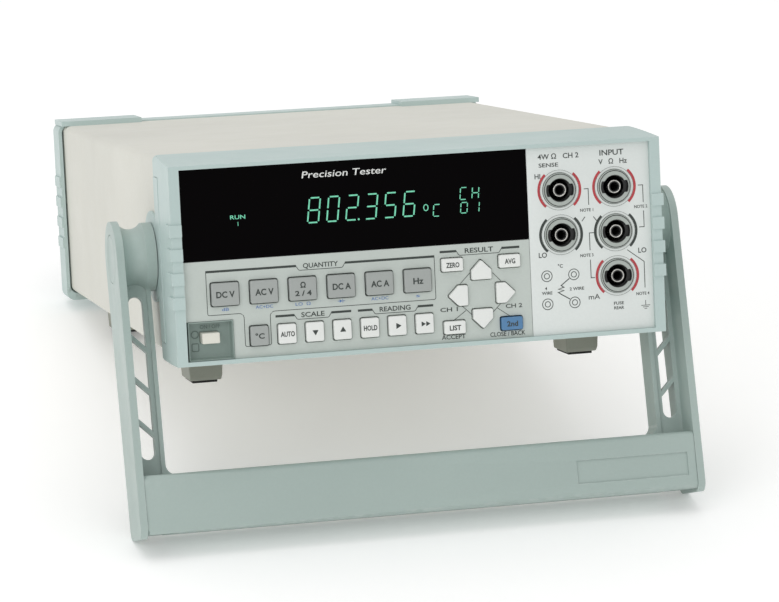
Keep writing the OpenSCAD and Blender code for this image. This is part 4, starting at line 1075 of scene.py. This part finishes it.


# Print on the jack panel, together with the painted ring shadows
def jackPanelPrintAndShadows():
    parts = jackArcs(lowJacks) + thinRings(frontJacks) + ringShadows(frontJacks)
    lines = [[(72.4, 64.9), (74.3, 64.9), (74.3, 58.0)], [(96.4, 65.0), (98.5, 65.0), (98.5, 57.6)],
             [(98.5, 54.0), (98.5, 47.1), (96.2, 47.1)], [(72.4, 53.0), (71.0, 51.2)],
             [(76.1, 52.9), (77.6, 50.9)],
             [(76.2, 46.0), (74.1, 46.0), (74.1, 38.6)], [(74.1, 34.6), (74.1, 26.8), (75.9, 26.8)],
             [(90.6, 37.7), (97.9, 32.2), (97.9, 21.0)]]
    parts += [panelLine(points, 0.32) for points in lines]
    for x, z in ((54.6, 28.8), (66.5, 28.8), (54.5, 16.8), (66.5, 16.8)):
        parts += [panelLine(arcPath(x, z, 2.3, 0, 350, 40), 0.32, loop=True),
                  panelLine(arcPath(x, z, 1.15, 0, 345, 28), 0.32, loop=True)]
    zigzag = [(64.4, 27.2), (60.7, 24.4), (61.9, 23.6), (59.4, 22.9), (61.9, 22.2), (59.4, 21.5),
              (60.7, 20.6), (64.4, 18.4)]
    parts.append(panelLine(zigzag, 0.4))
    parts += [panelLine([(97.9, 15.6), (97.9, 13.4)], 0.24), panelLine([(95.9, 13.4), (99.9, 13.4)], 0.26),
              panelLine([(96.6, 12.7), (99.2, 12.7)], 0.24), panelLine([(97.3, 12.0), (98.5, 12.0)], 0.24)]
    words = [("4W Ω   CH 2", 61.6, 79.6, 2.2, 18.0, 0.012), ("SENSE", 57.2, 76.0, 1.7, 8.6, 0.01),
             ("INPUT", 85.2, 79.8, 2.4, 10.6, 0.012), ("V   Ω   Hz", 85.6, 76.0, 2.2, 12.6, 0.012),
             ("HI", 52.2, 71.4, 2.1, 2.5, 0.012), ("LO", 53.2, 37.9, 2.2, 3.6, 0.012),
             ("mA", 75.2, 18.7, 2.3, 5.0, 0.0),
             ("LO", 97.3, 37.2, 2.2, 3.6, 0.012), ("NOTE 1", 73.3, 55.9, 1.3, 5.8, 0.012),
             ("NOTE 2", 97.3, 55.9, 1.3, 5.8, 0.012),
             ("NOTE 3", 72.6, 36.6, 1.3, 5.8, 0.012), ("NOTE 4", 96.8, 18.6, 1.3, 5.8, 0.012),
             ("°C", 60.7, 32.8, 1.5, None, 0.014), ("2 WIRE", 67.6, 22.7, 1.3, 6.4, 0.014),
             ("4", 54.0, 23.6, 1.3, None, 0.014),
             ("WIRE", 54.4, 21.6, 1.3, 4.6, 0.014), ("FUSE", 86.0, 15.2, 1.3, 4.4, 0.014),
             ("REAR", 86.0, 13.2, 1.3, 4.4, 0.014)]
    parts += [caption(text, x, z, h, w, weight) for text, x, z, h, w, weight in words]
    return parts


makePiece("jack_panel_print_and_ring_shadows", jackPanelPrintAndShadows(), inkDarkAndPaintedShadow, "instrument")
print("jacks built")

# Screws: a domed head whose face is a height worked out on a polar grid, sunk where the cross runs


def crossHead(x, z, seat, radius, height, side, shank=None, around=48, across=14):
    r = np.linspace(radius, radius * 0.02, across)[:, None]
    angle = np.linspace(0, 2 * math.pi, around, endpoint=False)[None, :]
    u, v = r * np.cos(angle), r * np.sin(angle)
    dome = height * (1 - 0.35 * (r / radius) ** 4) + 0 * angle
    arm, reach = radius * 0.13, radius * 0.62
    inCross = ((np.abs(u) < arm) & (np.abs(v) < reach)) | ((np.abs(v) < arm) & (np.abs(u) < reach))
    depth = np.where(inCross, dome - height * 0.6, dome)
    top = np.stack([x + u, seat - side * depth, z + v], -1)
    rings = [ringAt(discAt((x, z), radius, around), float(seat))[None], top]
    if shank:
        shankR, shankL = shank
        neck = discAt((x, z), shankR, around)
        rings = [ringAt(neck, seat + side * shankL)[None], ringAt(neck, float(seat))[None]] + rings
    return ringShape(np.vstack(rings))


rearScrewLow, rearScrewHigh = unitBox("rear_frame_screws")
rearScrew = dict(head=4.0, headT=2.6, shank=1.98, sink=4.0)
frameEnd = unitBox("rear_frame")[1][1]
screwParts = [crossHead(sx, sz, frameEnd - rearScrew["sink"], rearScrew["head"], rearScrew["headT"], -1,
                        (rearScrew["shank"], frameEnd - rearScrew["sink"] - rearScrewLow[1]))
              for sx in (rearScrewLow[0] + rearScrew["head"], rearScrewHigh[0] - rearScrew["head"])
              for sz in (rearScrewLow[2] + rearScrew["head"], rearScrewHigh[2] - rearScrew["head"])]
makePiece("rear_screws", screwParts, look["zinc_steel"], "instrument", ["rear_frame_screws"])

# Rear sockets: fuse caps with a screwdriver slot, bayonet sockets, and the interface connector
fuseLow, fuseHigh = unitBox("fuse_holders")
fuse = dict(flangeR=8.0, capR=6.2, bodyR=6.0)


def fuseShape(x, z):
    f = fuse
    y0, seat, end = fuseLow[1], rearSeat, fuseHigh[1]
    profile = [(f["bodyR"], y0), (f["bodyR"], seat), (f["flangeR"], seat), (f["flangeR"], seat + 1.2),
               (f["flangeR"] - 0.6, seat + 1.8), (f["capR"] + 0.2, seat + 2.0), (f["capR"], end - 0.8),
               (f["capR"] - 0.8, end)]
    return turned(profile, x, z, 48, loop=False)


fuseX = (fuseLow[0] + fuse["flangeR"], fuseHigh[0] - fuse["flangeR"])
fuseZ = (fuseLow[2] + fuseHigh[2]) / 2
makePiece("fuse_caps", [fuseShape(x, fuseZ) for x in fuseX], look["black_plastic"], "instrument",
          ["fuse_holders"])
makePiece("fuse_slots",
          [plate(boxCorners(x - 3.6, fuseZ - 0.55, x + 3.6, fuseZ + 0.55), fuseHigh[1] - 0.5,
                 fuseHigh[1] - 0.02, 0.3)
           for x in fuseX], look["zinc_steel"], "instrument")

socketLow, socketHigh = unitBox("trigger_sockets")
socketFlange = 7.5


def bayonet(x, z):
    seat, end = rearSeat, socketHigh[1]
    shell = [(3.0, socketLow[1]), (5.0, socketLow[1]), (5.0, seat), (7.5, seat), (7.5, seat + 1.4),
             (6.9, seat + 2.0),
             (5.0, seat + 2.0), (4.8, seat + 2.4), (4.8, end - 0.5), (4.4, end), (4.1, end - 0.2),
             (4.05, seat + 4.6), (3.0, seat + 4.6)]
    insulator = [(1.0, seat + 4.6), (2.2, seat + 4.6), (2.2, seat + 9.4), (2.0, seat + 9.9),
                 (0.75, seat + 9.9), (0.7, seat + 8.0)]
    points, faces = turned([(0.9, 0), (0.9, 1.1), (0.6, 1.4)], 0, 0, 20, loop=False)
    lugs = [(np.stack([x + points[:, 0], seat + 8.5 + points[:, 2], z + side * (4.6 + points[:, 1])], 1),
             faces)
            for side in (1, -1)]
    return [turned(shell, x, z, 48)] + lugs, [turned(insulator, x, z, 32)]


sockets = [bayonet(x, (socketLow[2] + socketHigh[2]) / 2)
           for x in (socketLow[0] + socketFlange, socketHigh[0] - socketFlange)]
makePiece("bayonet_shells", sockets[0][0] + sockets[1][0], look["contact_nickel"], "instrument",
          ["trigger_sockets"])
makePiece("bayonet_insulators", sockets[0][1] + sockets[1][1], look["relay_plastic"], "instrument")

busLow, busHigh = unitBox("interface_connector")
bus = dict(flangeT=1.2, contacts=12, pitch=1.75, row=0.95, nutX=17.0, nutR=2.6)


def trapezium(x, z, halfW, halfH, lean=1.3):
    return [(x - halfW + lean, z - halfH), (x + halfW - lean, z - halfH), (x + halfW, z + halfH),
            (x - halfW, z + halfH)]


def busShapes():
    x, z = (busLow[0] + busHigh[0]) / 2, (busLow[2] + busHigh[2]) / 2
    halfW, halfH = (busHigh[0] - busLow[0]) / 2, (busHigh[2] - busLow[2]) / 2
    seat, end = rearSeat, busHigh[1]
    flange = pillow(boxCorners(x - halfW, z - halfH, x + halfW, z + halfH), 2.0, 0, 1, 0.3, 0.0, 3.0)
    flange[0][:, 1] = seat + bus["flangeT"] * (1 - flange[0][:, 1])
    wall = 0.7
    outline = trapezium(x, z, 13.0, 4.2)
    shell = [ringAt(convexOutline(outline, 1.6, inset), y) for inset, y in
             ((0, busLow[1]), (0, end - 0.2), (0.2, end), (wall, end - 0.2), (wall, seat + 1.4),
              (wall, busLow[1]))]
    core = ringShape([ringAt(convexOutline(outline, 1.6, inset), y) for inset, y in
                      ((2.2, seat + 0.5), (2.2, end - 0.8), (2.5, end - 0.6))])
    nuts = []
    for nutX in (x - bus["nutX"], x + bus["nutX"]):
        nuts.append(plate(discAt((nutX, z), bus["nutR"], 6), seat + 1.1, end, 0.3, 3))
        nuts.append(turned([(1.4, end - 0.05), (1.4, end), (1.1, end), (1.1, end - 0.05)], nutX, z, 24))
    pinX = [x + (k - (bus["contacts"] - 1) / 2) * bus["pitch"] for k in range(bus["contacts"])]
    pins = [plate(boxCorners(px - 0.35, z + row - 0.3, px + 0.35, z + row + 0.3), end - 0.9, end - 0.55)
            for px in pinX for row in (-bus["row"], bus["row"])]
    return [flange, ringShape(shell, loop=True)] + nuts, [core], pins


busShell, busCore, busPins = busShapes()
makePiece("interface_shell", busShell, look["contact_nickel"], "instrument",
          ["interface_connector"])
makePiece("interface_core", busCore, look["key_blue_plastic"], "instrument")
makePiece("interface_pins", busPins, look["contact_nickel"], "instrument")


def inletPins():
    # Two pins low and one high between them; each is a cap drawn out along its depth
    x, z = placeOf("mains_inlet")
    parts = []
    for k, pinZ in ((-1, z - 4), (0, z), (1, z - 4)):
        box = boxCorners(x + k * 7 - 1, pinZ - 2, x + k * 7 + 1, pinZ + 2)
        points, faces = pillow(box, 0.3, 0, 1, 0.3, 0.0, 0.8)
        points[:, 1] = rearSeat - 1 - 15 * points[:, 1]
        parts.append((points, faces))
    return parts


makePiece("inlet_pins", inletPins(), look["contact_nickel"], "instrument")


def rearPrint():
    face = rearSeat + 0.02
    parts = []
    def label(text, x, z, height=2.4, width=None):
        return lettering(text, x, z, height, face, width, weight=0.008, turnedBack=True)
    for name, text in zip(rearJacks, ("Ω 4  +", "V Ω  +", "–", "–")):
        x, z = placeOf(name)
        parts.append(label(text, x, z + (9.3 if "hi" in name else -9.6), 2.0))
        parts.append(strip(arcPath(x, z, 8.6, 0, 355, 64), 0.2, rearSeat - 0.05, rearSeat + 0.05,
                           loop=True))
    parts += [label("F1", fuseX[0], fuseZ + 10.5), label("F2", fuseX[1], fuseZ + 10.5)]
    x, z = (busLow[0] + busHigh[0]) / 2, (busLow[2] + busHigh[2]) / 2
    parts.append(label("BUS", x, z + 9.8))
    for sx, text in ((socketLow[0] + socketFlange, "OUT"), (socketHigh[0] - socketFlange, "IN")):
        parts.append(label(text, sx, (socketLow[2] + socketHigh[2]) / 2 - 10.4))
    x, z = placeOf("mains_inlet")
    parts.append(label("~", x, z - 15.5, 3.0))
    return parts


makePiece("rear_panel_print", rearPrint(), inkDarkAndPaintedShadow, "instrument")
print("rear built")

# Handle: the CAD shapes; the crossbar's long front edges get a radius of their own first
handle = dict(barRadius=2.6, barRounding=0.5, armRounding=0.8)
pivot = np.array(jointNamed["handle_swing"]["pos_m"])


def handleLean():
    # The crossbar's widest front face tells how far the handle leans
    mesh = frame["nodes"]["handle_crossbar"].data
    area = np.empty(len(mesh.polygons))
    mesh.polygons.foreach_get("area", area)
    normal = np.empty(len(mesh.polygons) * 3)
    mesh.polygons.foreach_get("normal", normal)
    normal = normal.reshape(-1, 3)
    facing = normal[:, 1] < -0.6
    sumNormal = (normal[facing] * area[facing, None]).sum(0)
    return math.atan2(sumNormal[2], -sumNormal[1])


handleAxes = tiltedAxes(handleLean())


def toHandle(points):
    return (np.asarray(points, float) - pivot) @ handleAxes.T / mm


def roundBarEdges(bm):
    points = toHandle([v.co[:] for v in bm.verts])
    front, low = points[:, 1].min(), points[:, 2].min()

    def along(level):
        near = (np.abs(points[:, 1] - front) < 0.02) & (np.abs(points[:, 2] - level) < 0.02)
        return [e for e in bm.edges if near[e.verts[0].index] and near[e.verts[1].index]]

    bm.verts.index_update()
    barTop = points[np.abs(points[:, 1] - front) < 0.02][:, 2].max()
    edges = along(barTop) + along(low)
    bmesh.ops.bevel(bm, geom=edges, offset=handle["barRadius"] * mm, segments=6, profile=0.5,
                    affect="EDGES", clamp_overlap=True)


roundedCopy("handle_crossbar", "crossbar_shell", handle["barRounding"], "handle", firstBevel=roundBarEdges)
for side in ("left", "right"):
    roundedCopy("handle_arm_" + side, "arm_shell_" + side, handle["armRounding"], "handle", segments=4)


def capDisc(side):
    # The hub cap: a shallow dish turned about the pivot
    low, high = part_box("hub_caps")
    outer = (high[0] if side > 0 else low[0]) / mm
    r, t = 10.45, 1.8
    profile = [(0.05, -t), (r, -t), (r, -0.35), (r - 0.35, 0), (r - 1.6, 0), (r - 2.1, -0.25), (0.05, -0.3)]
    rings = [np.insert(discAt(pivot[1:] / mm, q, 72), 0, outer + side * d, 1) for q, d in profile]
    points, faces = ringShape(rings)
    return points * mm, faces


makePiece("hub_cap_discs", [capDisc(1), capDisc(-1)], look["handle_plastic"], "handle",
          ["hub_caps"], rowPoints=True)
print("handle built")

# Floor and light: a pale table, a big soft box above, one in front on the left, and an even sky
stage = dict(size=14.0, tone=(0.93, 0.93, 0.925), world=0.7, glow=0.2)


def addFloor(s):
    half = s["size"] / 2
    mesh = bpy.data.meshes.new("floor")
    mesh.from_pydata([(-half, -half, 0), (half, -half, 0), (half, half, 0), (-half, half, 0)], [],
                     [(0, 1, 2, 3)])
    f = Finish("floorPaper", 0.9, specular=0.1)
    tone = f.group(driftGroup, Scale=3.0)
    paper = f.mix(tone["Drift"], shade(s["tone"], 0.995), s["tone"])
    f.paint(paper)
    f.links.new(paper, f.shader.inputs["Emission Color"])  # a light table: it lifts the shadows
    f.shader.inputs["Emission Strength"].default_value = s["glow"]
    mesh.materials.append(f.material)
    obj = bpy.data.objects.new("floor", mesh)
    bpy.context.scene.collection.objects.link(obj)


def addLight(name, place, aim, size, power):
    data = bpy.data.lights.new(name, "AREA")
    data.shape = "RECTANGLE"
    data.size, data.size_y = size
    data.energy = power
    obj = bpy.data.objects.new(name, data)
    obj.location = place
    obj.rotation_euler = (Vector(aim) - Vector(place)).to_track_quat("-Z", "Y").to_euler()
    bpy.context.scene.collection.objects.link(obj)


addFloor(stage)
addLight("softbox_top", (-0.2, 0.1, 1.7), (0, 0, 0.05), (1.8, 1.6), 8)
addLight("softbox_front", (-1.5, -1.5, 1.1), (0, 0, 0.1), (1.2, 1.0), 7.5)
world = bpy.data.worlds.new("studio")
world.use_nodes = True
world.node_tree.nodes["Background"].inputs["Color"].default_value = (1, 1, 1, 1)
world.node_tree.nodes["Background"].inputs["Strength"].default_value = stage["world"]
bpy.context.scene.world = world
bpy.context.scene.view_settings.view_transform = "Standard"
print("stage set")
